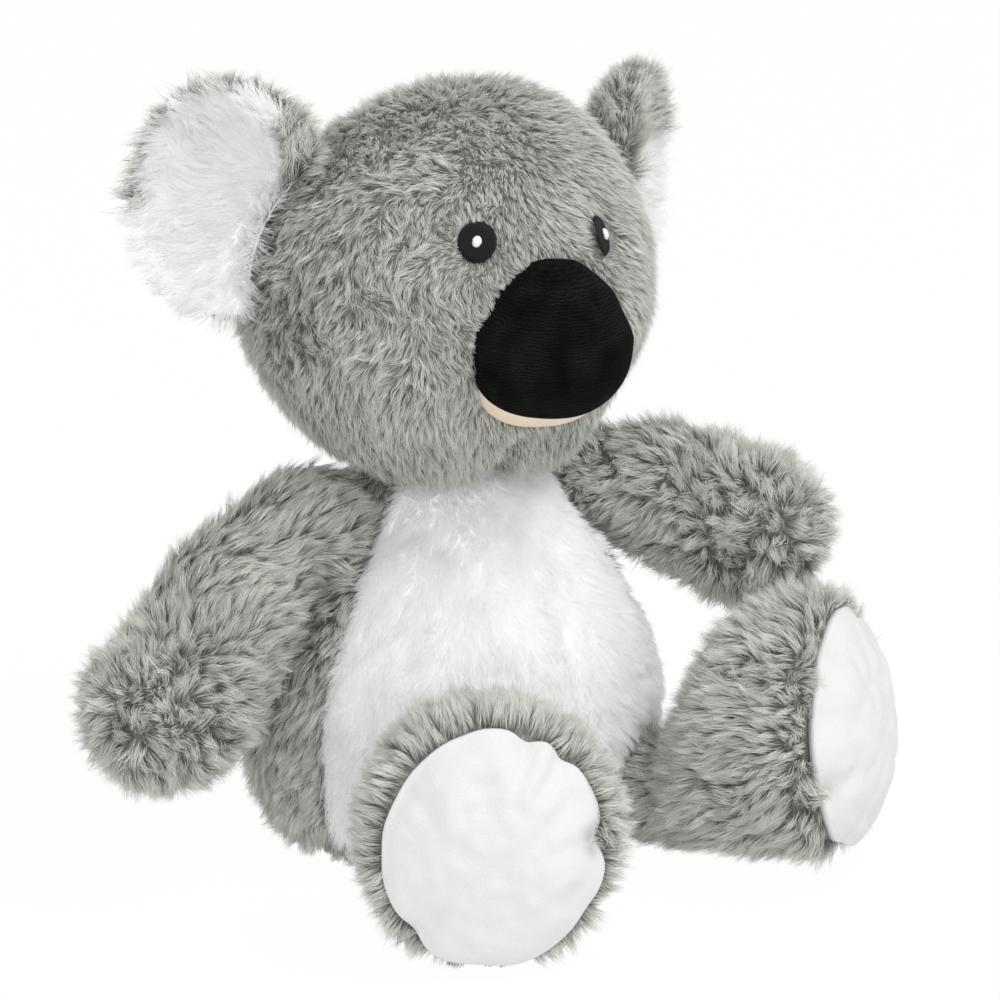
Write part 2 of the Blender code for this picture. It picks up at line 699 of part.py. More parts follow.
# Head
head_inside = guide(
    add_object(
        "head_inside",
        head_mesh("head_inside", HEAD_RADIUS - PILE_CLOTH, HOLLOW_SIDES, HOLLOW_SIDES // 2),
        parent=head_frame,
    )
)
eye_hollows = []
eye_seats = {}
for key, side in (("r", -1), ("l", 1)):
    spot = face_point(side * EYE_ANGLE, EYE_RISE)
    outward = spot.normalized()
    eye_seats[key] = (spot - outward * EYE_HOLLOW_DEPTH, outward)
    hollow_mesh = patch_mesh(
        f"eye_hollow_{key}", Vector(), outward, EYE_HOLLOW_RADIUS, EYE_HOLLOW_RADIUS, CUT_OVERRUN
    )
    eye_hollows.append(
        guide(
            add_object(
                f"eye_hollow_{key}", hollow_mesh, parent=head_frame, location=eye_seats[key][0]
            )
        )
    )
head_cover = add_object(
    "head_cover",
    head_mesh("head_cover", HEAD_RADIUS, HEAD_SIDES, HEAD_RINGS),
    grey_plush,
    parent=head_frame,
)
cut(head_cover, head_inside, neck_hollow, *eye_hollows, *ear_hollows)
head_filling = add_object(
    "head_filling",
    head_mesh("head_filling", HEAD_RADIUS - PILE_CLOTH - SEAM_GAP, HOLLOW_SIDES, HOLLOW_SIDES // 2),
    fibre_filling,
    parent=head_frame,
)
cut(head_filling, neck_hollow, *ear_hollows)

# Face
face_cutter = guide(
    add_object(
        "face_cutter",
        head_mesh("face_cutter", HEAD_RADIUS + SEAM_GAP, HEAD_SIDES, HEAD_RINGS),
        parent=head_frame,
    )
)
nose_middle = FORWARD * (HEAD_RADIUS - NOSE_SINK) - UP * NOSE_DROP
nose = add_object(
    "nose", nose_mesh("nose", nose_middle, 0.0), black_short_pile, parent=head_frame
)
cut(nose, face_cutter)
nose_cutter = guide(
    add_object(
        "nose_cutter", nose_mesh("nose_cutter", nose_middle, SEAM_GAP), parent=head_frame
    )
)
lip_middle = nose_middle - FORWARD * LIP_SETBACK - UP * LIP_DROP
mouth = add_object(
    "mouth", nose_mesh("mouth", lip_middle, -LIP_INSET), peach_felt, parent=head_frame
)
lip_top = -NOSE_DROP - LIP_CORNER_HEIGHT
lip_keep = block(
    "lip_keep",
    (-HEAD_RADIUS, -HEAD_RADIUS - NOSE_HALF_DEPTH, lip_top - HEAD_RADIUS),
    (HEAD_RADIUS, 0.0, lip_top),
    parent=head_frame,
)
cut(mouth, lip_keep, keep=True)
cut(mouth, face_cutter, nose_cutter)
for key, (seat, outward) in eye_seats.items():
    lift = outward * SEAM_GAP
    add_object(
        f"eye_{key}",
        patch_mesh(f"eye_{key}", Vector(), outward, EYE_HALF_WIDTH, EYE_HALF_HEIGHT, EYE_THICKNESS),
        black_thread,
        parent=head_frame,
        location=seat + lift,
    )
    top = outward * (EYE_THICKNESS + SEAM_GAP)
    glint_sizes = (GLINT_RADIUS, GLINT_RADIUS, GLINT_THICKNESS)
    add_object(
        f"eye_glint_{key}",
        patch_mesh(f"eye_glint_{key}", Vector(), outward, *glint_sizes, sides=12),
        white_thread,
        parent=head_frame,
        location=seat + lift + top,
    )

# Ears
def ear_cup(share):
    return -EAR_CUP_DEPTH * (1 - share * share)


def ear_seam(share):
    return ear_cup(share) - WHITE_PILE_EDGE - (WHITE_PILE_CLOTH - WHITE_PILE_EDGE) * (1 - share**4)


def ear_back(share):
    return -(EAR_BACK_DEPTH - EAR_RIM_RADIUS * 2) * sqrt(max(0.0, 1 - share**2.2)) - EAR_RIM_RADIUS * 2


for key, side in (("r", -1), ("l", 1)):
    body = ear_bodies[key]
    bpy.context.view_layer.update()
    hinge = body.matrix_world.translation.copy()
    axis = (body.matrix_world.to_3x3() @ Vector((0.0, 1.0, 0.0))).normalized()
    head_sweep = swept_hull(f"ear_{key}_sweep", face_cutter, hinge, axis, EAR_FLOP)
    lining = add_object(
        f"ear_lining_{key}",
        ear_layer(f"ear_lining_{key}", side, EAR_LINING_SHARE, ear_cup, ear_seam, EAR_RIM_BULGE),
        white_plush,
        parent=body,
    )
    root_space = ball(f"ear_{key}_root_space", Vector(), EAR_ROOT_RADIUS + SEAM_GAP, EAR_ROOT_SIDES, body)
    cut(lining, head_sweep, root_space)
    back_mesh = ear_layer(
        f"ear_back_{key}", side, 1.0, lambda share: ear_cup(share) - SEAM_GAP, ear_back, EAR_RIM_RADIUS / 2
    )
    back = add_object(f"ear_back_{key}", back_mesh, grey_plush, parent=body)
    lining_space = guide(
        add_object(
            f"ear_space_{key}",
            ear_layer(
                f"ear_space_{key}",
                side,
                EAR_LINING_SHARE + SEAM_GAP / EAR_HALF_WIDTH,
                lambda share: ear_cup(share) + SEAM_GAP,
                lambda share: ear_seam(share) - SEAM_GAP,
                EAR_RIM_BULGE + SEAM_GAP,
            ),
            parent=body,
        )
    )
    cut(back, lining_space, head_sweep)
    join(back, ball(f"ear_{key}_root", Vector(), EAR_ROOT_RADIUS, EAR_ROOT_SIDES, body))

# Arms
arm_curves = {
    "r": arm_spine(RIGHT_ARM_START, RIGHT_PAW, RIGHT_ARM_END),
    "l": arm_spine(LEFT_ARM_START, LEFT_PAW, LEFT_ARM_END),
}
for key, spine in arm_curves.items():
    body = arm_bodies[key]
    inside_rings = arm_rings(spine, 0.0, LIMB_SIDES, ARM_ROOT_RADIUS + CUT_OVERRUN)
    inside_mesh = skin_rings(f"arm_{key}_inside", inside_rings)
    inside = guide(add_object(f"arm_{key}_inside", inside_mesh, parent=body))
    cover_mesh = skin_rings(f"arm_cover_{key}", arm_rings(spine, 0.0, LIMB_SIDES))
    cover = add_object(f"arm_cover_{key}", cover_mesh, grey_plush, parent=body)
    cut(cover, inside)
    root_reach = sqrt(ARM_ROOT_RADIUS**2 - ARM_OPENING_RADIUS**2)
    filling_mesh = skin_rings(f"arm_filling_{key}", arm_rings(spine, SEAM_GAP, LIMB_SIDES, root_reach))
    add_object(f"arm_filling_{key}", filling_mesh, fibre_filling, parent=body)

# Legs
floor = block(
    "floor",
    (-SOLE_DISTANCE * 3, -SOLE_DISTANCE * 3, -SOLE_DISTANCE),
    (SOLE_DISTANCE * 3, SOLE_DISTANCE * 3, 0.0),
)
for key, body in leg_bodies.items():
    inside_rings = leg_hollow_rings(0.0, -LEG_ROOT_RADIUS - CUT_OVERRUN, SOLE_DISTANCE + CUT_OVERRUN)
    inside_mesh = skin_rings(f"leg_{key}_inside", inside_rings)
    inside = guide(add_object(f"leg_{key}_inside", inside_mesh, parent=body))
    cover_mesh = skin_rings(f"leg_cover_{key}", leg_outer_rings())
    cover = add_object(f"leg_cover_{key}", cover_mesh, grey_plush, parent=body)
    cut(cover, inside, floor)
    sole_mesh = skin_rings(f"foot_sole_{key}", sole_rings())
    add_object(f"foot_sole_{key}", sole_mesh, white_short_pile, parent=body)
    root_reach = sqrt(LEG_ROOT_RADIUS**2 - LEG_OPENING_RADIUS**2)
    filling_rings = leg_hollow_rings(SEAM_GAP, -root_reach, SOLE_DISTANCE - SHORT_PILE_CLOTH - SEAM_GAP)
    filling_mesh = skin_rings(f"leg_filling_{key}", filling_rings)
    add_object(f"leg_filling_{key}", filling_mesh, fibre_filling, parent=body)
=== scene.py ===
"""Looks of the seated plush koala: stuffed cloth skins, the pile that grows on them, the stitched face, the stage.

Metres, +Z up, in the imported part's frame. The toy faces -Y and its own left is +X. Every skin repeats a form of the
part's source, set back by the height of its standing pile, so that the tips of the pile reach the form's surface.
"""

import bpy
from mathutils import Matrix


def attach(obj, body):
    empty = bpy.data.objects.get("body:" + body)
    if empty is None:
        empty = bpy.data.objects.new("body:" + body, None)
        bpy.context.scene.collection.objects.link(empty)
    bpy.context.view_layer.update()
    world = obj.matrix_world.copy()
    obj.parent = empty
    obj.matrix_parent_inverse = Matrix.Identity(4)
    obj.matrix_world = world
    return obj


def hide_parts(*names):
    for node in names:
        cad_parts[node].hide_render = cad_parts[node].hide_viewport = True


bl_info = {
    "name": "Seated Plush Koala",
    "version": (1, 0, 0),
    "blender": (4, 5, 0),
    "location": "3D View > Sidebar > Plush Koala",
    "description": "Dresses the packed koala in stuffed skins, pile fabric, and stitched details",
    "category": "Object",
}

from math import atan2, cos, exp, pi, radians, sin, sqrt

import bmesh
import bpy
from bpy.props import FloatProperty, FloatVectorProperty, IntProperty, PointerProperty
from mathutils import Matrix, Vector, noise

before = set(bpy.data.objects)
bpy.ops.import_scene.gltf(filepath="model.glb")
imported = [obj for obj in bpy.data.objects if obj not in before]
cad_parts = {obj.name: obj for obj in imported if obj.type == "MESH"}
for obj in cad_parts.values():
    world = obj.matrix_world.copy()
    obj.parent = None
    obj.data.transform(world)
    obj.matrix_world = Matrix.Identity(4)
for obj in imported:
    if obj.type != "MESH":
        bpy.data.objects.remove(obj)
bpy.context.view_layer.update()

UP = Vector((0.0, 0.0, 1.0))
FORWARD = Vector((0.0, -1.0, 0.0))
LEFTWARD = Vector((1.0, 0.0, 0.0))

# Forms. The main sizes are those of the part's source, and seams, hollows, tucks and stitches belong to the looks.
HEAD_RADIUS = 0.0725
HEAD_HEIGHT = 0.2005
HEAD_TURN = radians(-5)
HEAD_TILT = radians(4)
CROWN_SLOPE_SHARE = 0.12
CROWN_HEIGHT_SHARE = 0.94
CHEEK_SHARE = 0.045
NOSE_HALF = Vector((0.0290, 0.026, 0.0277))
NOSE_FORWARD = 0.0705
NOSE_DROP = 0.0065
NOSE_SQUARENESS = 0.82      # below 1, the nose's foot is fuller than an oval's
NOSE_LEAN_SHARE = 0.07      # how much narrower the nose is on the toy's right
LIP_DROP = 0.0080
LIP_INSET = 0.0040
LIP_SETBACK = 0.006
LIP_TUCK = 0.006            # how far the mouth's upper part is set back behind the nose
EYE_ANGLE = radians(22)
EYE_RISE = 0.0277
EYE_HALF_WIDTH = 0.0066
EYE_HALF_HEIGHT = 0.0070
EYE_HOLLOW_DEPTH = 0.002
EYE_THICKNESS = 0.0016
EYE_PINCH_DEPTH = 0.0028    # of the hollow that an eye's stitches pull into the head
EYE_PINCH_WIDTH = 0.0095
EYE_OVERHANG = {"r": 0.0, "l": 0.0034}              # how far the pile beside the nose reaches over an eye
EYE_TILT = {"r": radians(-15), "l": radians(25)}    # how far an eye is turned from the way its place faces
EYE_SINK = 0.0012           # how much deeper than its hollow an eye is stitched
EYE_TUFT_PLACE = 0.009      # of the pile that leans over the left eye, from its middle toward the nose
EYE_TUFT_WIDTH = 0.006
EYE_THREAD = 0.00042        # width of a stitch
GLINT_RADIUS = 0.0020
GLINT_THREAD = 0.00036

CHIN_CREASE = 0.0050        # half width and depth of the crease below the mouth
CROWN_SEAM_WIDTH = 0.0016
CROWN_SEAM_DEPTH = 0.0008

NECK_PIVOT = Vector((0.0, 0.0, 0.104))
NECK_RADIUS = 0.045
NECK_SEAM_ANGLE = radians(38)
NECK_SLOPE_ANGLE = radians(60)
BELLY_RADIUS = 0.077
BELLY_HEIGHT = 0.046
SEAT_RADIUS = 0.058
SHOULDER_SLOPE_REACH = 0.030
BELLY_UPPER_REACH = 0.028
BELLY_LOWER_REACH = 0.023
SEAT_EDGE_REACH = 0.012
PANEL_HALF_ANGLE = radians(72)
PANEL_HEM_HEIGHT = 0.010
HEM_THICKNESS = 0.0012
PANEL_SEAM_WIDTH = 0.0022
PANEL_SEAM_DEPTH = 0.0010

EAR_HALF_WIDTH = 0.036
EAR_HALF_HEIGHT = 0.0430
EAR_BACK_DEPTH = 0.022
EAR_CUP_DEPTH = 0.009
EAR_RIM_RADIUS = 0.0045
EAR_LINING_SHARE = 0.93
EAR_ANGLE = radians(45)
EAR_HINGE = Vector((0.06603, 0.0125, 0.0272))
EAR_HINGE_DEPTH = 0.014
EAR_TUCK = 0.0257
EAR_FLOP = radians(10)

SHOULDER = Vector((0.0525, 0.006, 0.117))
ARM_ROOT_RADIUS = 0.022
ARM_SWELL = ((0, 0.022), (0.20, 0.0197), (0.50, 0.0265), (0.8, 0.0283), (1, 0.0292))
PAW_RADIUS = 0.0292
ARM_CURVES = {
    "r": (Vector((-0.031, 0.000, 0.004)), Vector((-0.0695, -0.014, -0.049)), Vector((0.024, 0.010, 0.004))),
    "l": (Vector((0.026, -0.008, 0.000)), Vector((0.0505, -0.047, -0.016)), Vector((-0.010, 0.022, 0.004))),
}

HIP_RADIUS = 0.070
HIP_HEIGHT = 0.0255
LEG_TURNS = {"r": (radians(-29), 0.0), "l": (radians(33), radians(6))}
LEG_ROOT_RADIUS = 0.0215
SHIN_RADIUS = 0.0205
SOLE_DISTANCE = 0.080
FOOT_HALF_WIDTH = 0.045
FOOT_HALF_HEIGHT = 0.0472
FOOT_RIM = 0.004
SOLE_HALF_WIDTH = 0.0365
SOLE_HALF_HEIGHT = 0.0415
SOLE_BULGE = 0.009
SOLE_DROP = 0.0012
FLOOR_FLAT = 0.0005
FOOT_ROLL = 0.0085          # of the rim round the sole
# Rings of the foot: shares of the way to the sole, and of the foot's height and width
FOOT_SHARES = (
    (0.235, 0.45, 0.50),
    (0.336, 0.60, 0.68),
    (0.482, 0.82, 0.88),
    (0.650, 0.96, 0.98),
    (0.842, 1.0, 1.0),
)

EAR_FOLD_EDGE = -0.0105         # of the grey that folds over the lining beside the head, from the ear's hinge
EAR_FOLD_SLOPE = 0.06
EAR_FOLD_FOOT = -0.003          # height above the hinge from which it folds over
EAR_GREY_RIM = 0.88             # share of the way out from which the right ear's front is grey at the top
EAR_RIM_FOOT = -0.004           # height above the hinge from which that rim is grey
EAR_GREY_TOP = 0.006            # height above the hinge from which the left ear's front is grey
EAR_GREY_SLOPE = 0.25           # rise of that edge outward

# Set back from those forms by the standing pile
GREY_INSET = 0.0052
HEAD_INSET = 0.0040
WHITE_INSET = 0.0036
EAR_INSET = 0.0048
PATCH_GAP = 0.0004
NECK_GAP = 0.0008           # between the head's skin and the neck's ball
WAD_GAP = 0.0006            # between the neck's wad and the torso's skin
NECK_COVER = 0.0016         # how far round the neck's ball the head grows no pile
ROOT_GAP = 0.0012           # between the torso's skin and a limb's root
ROOT_COVER = 0.0022         # how far round a limb's root the torso grows no pile

# How the pile is combed
WHORLS = {"r": (0.0, -0.15, 0.1), "l": (-0.75, -0.35, 0.45)}        # how far aside of the arm's end it parts on a paw
ARM_SWEEPS = {"r": (0.65, -0.45, 0.0), "l": (-0.2, 0.1, -0.1)}      # which way it runs above the paw
RIM_TUFTS = {"r": (228, 5), "l": (75, 138, 196, 283)}   # degrees round a sole where it leans over the edge
RIM_TUFT_WIDTH = 13                                     # degrees
# The head's and the ears' pile, which is shorter and finer than the limbs'
FINE_PILE = {"Tufts": 3.8e5, "Length": 0.0072, "Width": 0.00030, "Eddies": 3.4, "Fineness": 1.7, "Pull": 0.62,
             "Wave": 0.0014}
# The grey pile that folds over the ear's lining
FOLD_PILE = {"Length": 0.0150, "Eddies": 1.2, "Spread": 0.35}
STRAND_SEGMENTS = 2
STRAND_TAPER = 1.7          # above 1, a strand keeps its width and then comes to a point
STRAND_BULGE = 0.55         # of a strand to one side, as a share of its length
EDDY_SCALE = 105.0          # of the small turns in the nap, for each metre
WAVE_SCALE = 130.0          # of the bends in the grown strands, for each metre
FLOOR_CLEAR = 0.0003        # height below which no strand reaches

# Stage
VIEW_SHIFT = (0.018, 0.1134)    # of the middle of the view from the middle of the seat, across and up
SENSOR_WIDTH = 36.0             # millimetres
LAMP_AIM_HEIGHT = 0.14
KEY_SIZE, KEY_PLACE = 0.6, (0.6, 0.42, 1.25)    # across the lamp, and its place: right, toward the camera, and up
FILL_SIZE, FILL_PLACE = 0.9, (0.0, 1.3, 0.3)
FLOOR_COLOUR = (0.93, 0.93, 0.93, 1)
FLOOR_WHITE_SHARE = 0.98        # how far the camera sees the floor as plain white, over how it is lit


class KoalaPile(bpy.types.PropertyGroup):
    """The pile fabrics."""

    grey_length: FloatProperty(name="Grey pile length", description="Of a grey strand, from root to tip",
                               default=0.0098, min=0.001, max=0.03, unit="LENGTH", precision=4)
    white_length: FloatProperty(name="White pile length", description="Of a belly strand, from root to tip",
                                default=0.0062, min=0.001, max=0.03, unit="LENGTH", precision=4)
    lining_length: FloatProperty(name="Ear lining pile length", description="Of a strand of the ear's lining",
                                 default=0.0085, min=0.001, max=0.03, unit="LENGTH", precision=4)
    strand_width: FloatProperty(name="Strand width", description="Of a lock of fibres at its root",
                                default=0.00034, min=0.0001, max=0.002, unit="LENGTH", precision=5)
    grey_density: FloatProperty(name="Grey strands", description="Grey strands on a square metre",
                                default=2.9e6, min=1e4, max=1e7)
    white_density: FloatProperty(name="White strands", description="White strands on a square metre",
                                 default=2.9e6, min=1e4, max=1e7)
    clump_density: FloatProperty(name="Tufts", description="Tufts on a square metre",
                                 default=1.3e5, min=1e3, max=1e6)
    clump_pull: FloatProperty(name="Tuft pull", description="How far the strands lean to the tip of their tuft",
                              default=0.7, min=0.0, max=1.0, subtype="FACTOR")
    seed: IntProperty(name="Seed", description="Of everything random in the pile", default=7, min=0)


class KoalaColours(bpy.types.PropertyGroup):
    """The finishes' colours."""

    grey_tip: FloatVectorProperty(name="Grey pile tips", description="Colour of the grey strands at their tips",
                                  subtype="COLOR", size=4, min=0, max=1, default=(0.77, 0.785, 0.735, 1))
    # Darker than the tips: painted shade deep in the pile. The grey backing takes this colour too.
    grey_root_painted_shade: FloatVectorProperty(name="Grey pile roots", description="Colour of the grey strands at their roots",
                                   subtype="COLOR", size=4, min=0, max=1, default=(0.285, 0.295, 0.27, 1))
    white_tip: FloatVectorProperty(name="White pile tips", description="Colour of the white strands at their tips",
                                   subtype="COLOR", size=4, min=0, max=1, default=(0.995, 0.995, 0.995, 1))
    white_root: FloatVectorProperty(name="White pile roots", description="Colour of the white strands at their roots",
                                    subtype="COLOR", size=4, min=0, max=1, default=(0.985, 0.985, 0.98, 1))
    sole: FloatVectorProperty(name="Foot soles", description="Colour of the smooth velour of the soles",
                              subtype="COLOR", size=4, min=0, max=1, default=(0.675, 0.68, 0.67, 1))
    nap: FloatVectorProperty(name="Nose nap", description="Colour of the short pile of the nose",
                             subtype="COLOR", size=4, min=0, max=1, default=(0.0055, 0.0065, 0.0055, 1))
    thread: FloatVectorProperty(name="Eye thread", description="Colour of the thread of the eyes",
                                subtype="COLOR", size=4, min=0, max=1, default=(0.006, 0.007, 0.006, 1))
    glint: FloatVectorProperty(name="Glint thread", description="Colour of the thread of the eyes' highlights",
                               subtype="COLOR", size=4, min=0, max=1, default=(0.92, 0.92, 0.90, 1))
    lip: FloatVectorProperty(name="Mouth felt", description="Colour of the felt of the mouth",
                             subtype="COLOR", size=4, min=0, max=1, default=(0.80, 0.67, 0.52, 1))


class KoalaStudio(bpy.types.PropertyGroup):
    """The stage, lights, and camera."""

    azimuth: FloatProperty(name="Camera azimuth", description="Of the camera round the toy, from straight ahead",
                           default=radians(-35), subtype="ANGLE")
    elevation: FloatProperty(name="Camera elevation", description="Of the camera above the horizon",
                             default=radians(17), subtype="ANGLE")
    distance: FloatProperty(name="Camera distance", description="Of the camera from the middle of its view",
                            default=1.6, min=0.2, unit="LENGTH")
    lens: FloatProperty(name="Lens", description="Focal length in millimetres", default=160.0, min=10)
    world_light: FloatProperty(name="Ambient light", description="Strength of the light from all round",
                               default=0.66, min=0.0)
    key_power: FloatProperty(name="Key light", description="Power of the large soft light above", default=8.7,
                             min=0.0, unit="POWER")
    fill_power: FloatProperty(name="Fill light", description="Power of the soft light from the front", default=5.7,
                              min=0.0, unit="POWER")


# Forms ---------------------------------------------------------------------------------------------------------------


def skin_mesh(name, rows):
    """A closed mesh through rings of equally many points. A ring of one point closes an end."""
    bm = bmesh.new()
    made = [[bm.verts.new(point) for point in row] for row in rows]
    for low, high in zip(made, made[1:]):
        count = max(len(low), len(high))
        for i in range(count):
            j = (i + 1) % count
            corners = [low[i % len(low)], low[j % len(low)], high[j % len(high)], high[i % len(high)]]
            bm.faces.new(list(dict.fromkeys(corners)))
    for end in (made[0], made[-1]):
        if len(end) > 1:
            bm.faces.new(end)
    bmesh.ops.recalc_face_normals(bm, faces=bm.faces)
    mesh = bpy.data.meshes.new(name)
    bm.to_mesh(mesh)
    bm.free()
    mesh.shade_smooth()
    return mesh


def add_object(name, mesh, material=None):
    obj = bpy.data.objects.new(name, mesh)
    bpy.context.scene.collection.objects.link(obj)
    if material:
        mesh.materials.append(material)
    return obj


def ease(low, high, value):
    """0 below low, 1 above high, and smooth between them."""
    share = min(1.0, max(0.0, (value - low) / (high - low)))
    return share * share * (3 - 2 * share)


def bell(distance, reach):
    """1 at no distance, and falling off smoothly over the reach."""
    return exp(-((distance / reach) ** 2))


def wrapped(angle):
    """The same angle, from minus a half turn to a half turn."""
    return (angle + pi) % (2 * pi) - pi


def turns_round(sides, pointed=False):
    """The turns at which a ring has its points, or a single one where the form comes to a point."""
    return [0] if pointed else [2 * pi * k / sides for k in range(sides)]


def bezier(points, share):
    a, b, c, d = points
    rest = 1 - share
    return a * rest**3 + b * (3 * rest**2 * share) + c * (3 * rest * share**2) + d * share**3


def bezier_slope(points, share):
    a, b, c, d = points
    rest = 1 - share
    return (b - a) * (3 * rest**2) + (c - b) * (6 * rest * share) + (d - c) * (3 * share**2)


def lumps(point, size, height, seed=0.0):
    """How far uneven stuffing lifts the cloth here."""
    return noise.noise(point / size + Vector((seed, seed * 1.7, -seed))) * height


def smooth_run(knots, steps):
    """Tuples on a smooth curve through the knots, which are tuples of numbers."""
    vectors = [Vector(knot) for knot in knots]
    ends = [vectors[0] * 2 - vectors[1], *vectors, vectors[-1] * 2 - vectors[-2]]
    run = []
    for i in range(1, len(ends) - 2):
        before, start, stop, after = ends[i - 1:i + 3]
        for k in range(steps):
            t = k / steps
            point = (
                start * 2
                + (stop - before) * t
                + (before * 2 - start * 5 + stop * 4 - after) * t**2
                + (start * 3 - before - stop * 3 + after) * t**3
            ) / 2
            run.append(tuple(point))
    return run + [tuple(vectors[-1])]


HEAD_PLACE = (
    Matrix.Translation((0.0, 0.0, HEAD_HEIGHT))
    @ Matrix.Rotation(HEAD_TURN, 4, "Z")
    @ Matrix.Rotation(HEAD_TILT, 4, "Y")
)
HEAD_PLACE_BACK = HEAD_PLACE.inverted()
NOSE_MIDDLE = FORWARD * NOSE_FORWARD - UP * NOSE_DROP
LIP_MIDDLE = NOSE_MIDDLE - FORWARD * LIP_SETBACK - UP * LIP_DROP


def head_point(direction, radius):
    """A point of the head's surface, from the head's middle: a ball with full cheeks and a sloping crown."""
    x, y, z = direction
    slope = max(0.0, 2 * y * z) if z > 0 else 0.0
    cheek = max(0.0, -2 * z * abs(x)) * (1 - max(0.0, -z)) * 2
    point = direction * radius * (1 - CROWN_SLOPE_SHARE * slope + CHEEK_SHARE * cheek)
    if z > 0:
        point.z *= CROWN_HEIGHT_SHARE
    return point


def head_depth(point):
    """How deep a point lies in the head, below zero outside it. The point is in the head's frame."""
    plain = Vector((point.x, point.y, point.z / (CROWN_HEIGHT_SHARE if point.z > 0 else 1)))
    direction = plain.normalized()
    surface = head_point(direction, HEAD_RADIUS)
    return surface.length - point.length


def face_point(turn, rise):
    """A point of the face, at a turn from straight ahead and a height above the head's middle."""
    level = rise / HEAD_RADIUS
    flat = sqrt(1 - level * level)
    return head_point(Vector((flat * sin(turn), -flat * cos(turn), level)), HEAD_RADIUS)


EYE_SPOTS = {key: face_point(side * EYE_ANGLE, EYE_RISE) for key, side in (("r", -1), ("l", 1))}


LEFT_CHEEK = (0.65, -0.62, -0.44)

# Where the stuffing swells or slackens the head: the direction from its middle, how wide, and how high
HEAD_LUMPS = (
    ((0.38, -0.52, -0.77), 0.42, 0.0038),
    ((-0.38, -0.52, -0.77), 0.42, 0.0038),
    ((0.52, -0.05, 0.85), 0.45, 0.0042),
    (LEFT_CHEEK, 0.36, -0.0040),
)


def head_rows(inset, sides=144, rings=96):
    """The head's skin, drawn in at the eyes, the chin, and the neck's socket."""
    rows = []
    for i in range(rings + 1):
        polar = pi * i / rings
        row = []
        for turn in turns_round(sides, i in (0, rings)):
            direction = Vector((sin(polar) * sin(turn), -sin(polar) * cos(turn), cos(polar)))
            point = head_point(direction, HEAD_RADIUS - inset)
            lift = lumps(point, 0.030, 0.0012) + lumps(point, 0.013, 0.0004, 3.0)
            for spot in EYE_SPOTS.values():
                lift -= EYE_PINCH_DEPTH * bell((point - spot * 0.93).length, EYE_PINCH_WIDTH)
            for middle, reach, height in HEAD_LUMPS:
                lift += height * bell((direction - Vector(middle)).length, reach)
            if direction.y < 0:
                below_lip = ease(0.038, 0.050, -point.z) * ease(-0.066, -0.058, point.z)
                lift -= CHIN_CREASE * bell(point.x, CHIN_CREASE) * below_lip
            seam = bell(point.x, CROWN_SEAM_WIDTH) * ease(0.0, 0.03, point.z)
            lift -= CROWN_SEAM_DEPTH * seam
            row.append(HEAD_PLACE @ (point + direction * lift))
        rows.append(row)
    socket = NECK_RADIUS + NECK_GAP
    for row in rows:
        for k, point in enumerate(row):
            away = point - NECK_PIVOT
            if away.length < socket:
                row[k] = NECK_PIVOT + away.normalized() * socket
    return rows


def egg_rows(middle, half, grow, sides=96, rings=56):
    """Rings of the egg that the nose and the mouth are parts of, in the head's frame."""
    rows = []
    for i in range(rings + 1):
        polar = pi * i / rings
        row = []
        for turn in turns_round(sides, i in (0, rings)):
            across, rise = sin(turn), cos(turn)
            if rise < 0:
                across = (abs(across) ** NOSE_SQUARENESS) * (1 if across > 0 else -1)
                rise = -(abs(rise) ** NOSE_SQUARENESS)
            taper = 1 - 0.13 * ease(0.0, 0.45, rise) - 0.10 * ease(0.6, 0.9, rise)
            taper -= NOSE_LEAN_SHARE * ease(0.0, -0.6, across) * ease(-0.95, -0.3, rise)
            rise = min(rise, 0.93 + 0.4 * (rise - 0.93))
            across, rise = sin(polar) * across, sin(polar) * rise
            row.append(
                middle
                + LEFTWARD * across * taper * (half.x + grow)
                + UP * rise * (half.z + grow)
                + FORWARD * cos(polar) * (half.y + grow)
            )
        rows.append(row)
    return rows


def torso_profile(inset):
    """Radius and height from the top of the neck to the seat."""
    radius = NECK_RADIUS - inset
    steps = 22
    points = [(0.0, NECK_PIVOT.z + radius)]
    for i in range(1, steps + 1):
        angle = NECK_SLOPE_ANGLE * i / steps
        points.append((radius * sin(angle), NECK_PIVOT.z + radius * cos(angle)))
    start = Vector((points[-1][0], points[-1][1]))
    widest = Vector((BELLY_RADIUS - inset, BELLY_HEIGHT))
    seat = Vector((SEAT_RADIUS - inset, inset))
    slope = Vector((cos(NECK_SLOPE_ANGLE), -sin(NECK_SLOPE_ANGLE)))
    upper = (start, start + slope * SHOULDER_SLOPE_REACH,
             widest + Vector((0.0, BELLY_UPPER_REACH)), widest)
    lower = (widest, widest - Vector((0.0, BELLY_LOWER_REACH)),
             seat + Vector((SEAT_EDGE_REACH, 0.0)), seat)
    for curve, count in ((upper, 44), (lower, 22)):
        points += [tuple(bezier(curve, i / count)) for i in range(1, count + 1)]
    points += [(seat.x * share, seat.y) for share in (0.8, 0.6, 0.4, 0.2)]
    return points + [(0.0, inset)]


def joint_places():
    """The middles of the limbs' roots on the torso."""
    shoulders = {"r": Vector((-SHOULDER.x, SHOULDER.y, SHOULDER.z)), "l": SHOULDER}
    hips = {}
    for key, (splay, _) in LEG_TURNS.items():
        hips[key] = Vector((HIP_RADIUS * sin(splay), -HIP_RADIUS * cos(splay), HIP_HEIGHT))
    return shoulders, hips


SHOULDERS, HIPS = joint_places()
LIMB_ROOTS = [(c, ARM_ROOT_RADIUS) for c in SHOULDERS.values()] + [(c, LEG_ROOT_RADIUS) for c in HIPS.values()]


def pressed(point, centre, radius, inward):
    """The point, moved inward until it is clear of a ball."""
    offset = point - centre
    if offset.length >= radius:
        return point
    along = offset.dot(inward)
    reach = sqrt(max(0.0, radius**2 - (offset.length_squared - along**2))) - along
    return point + inward * reach


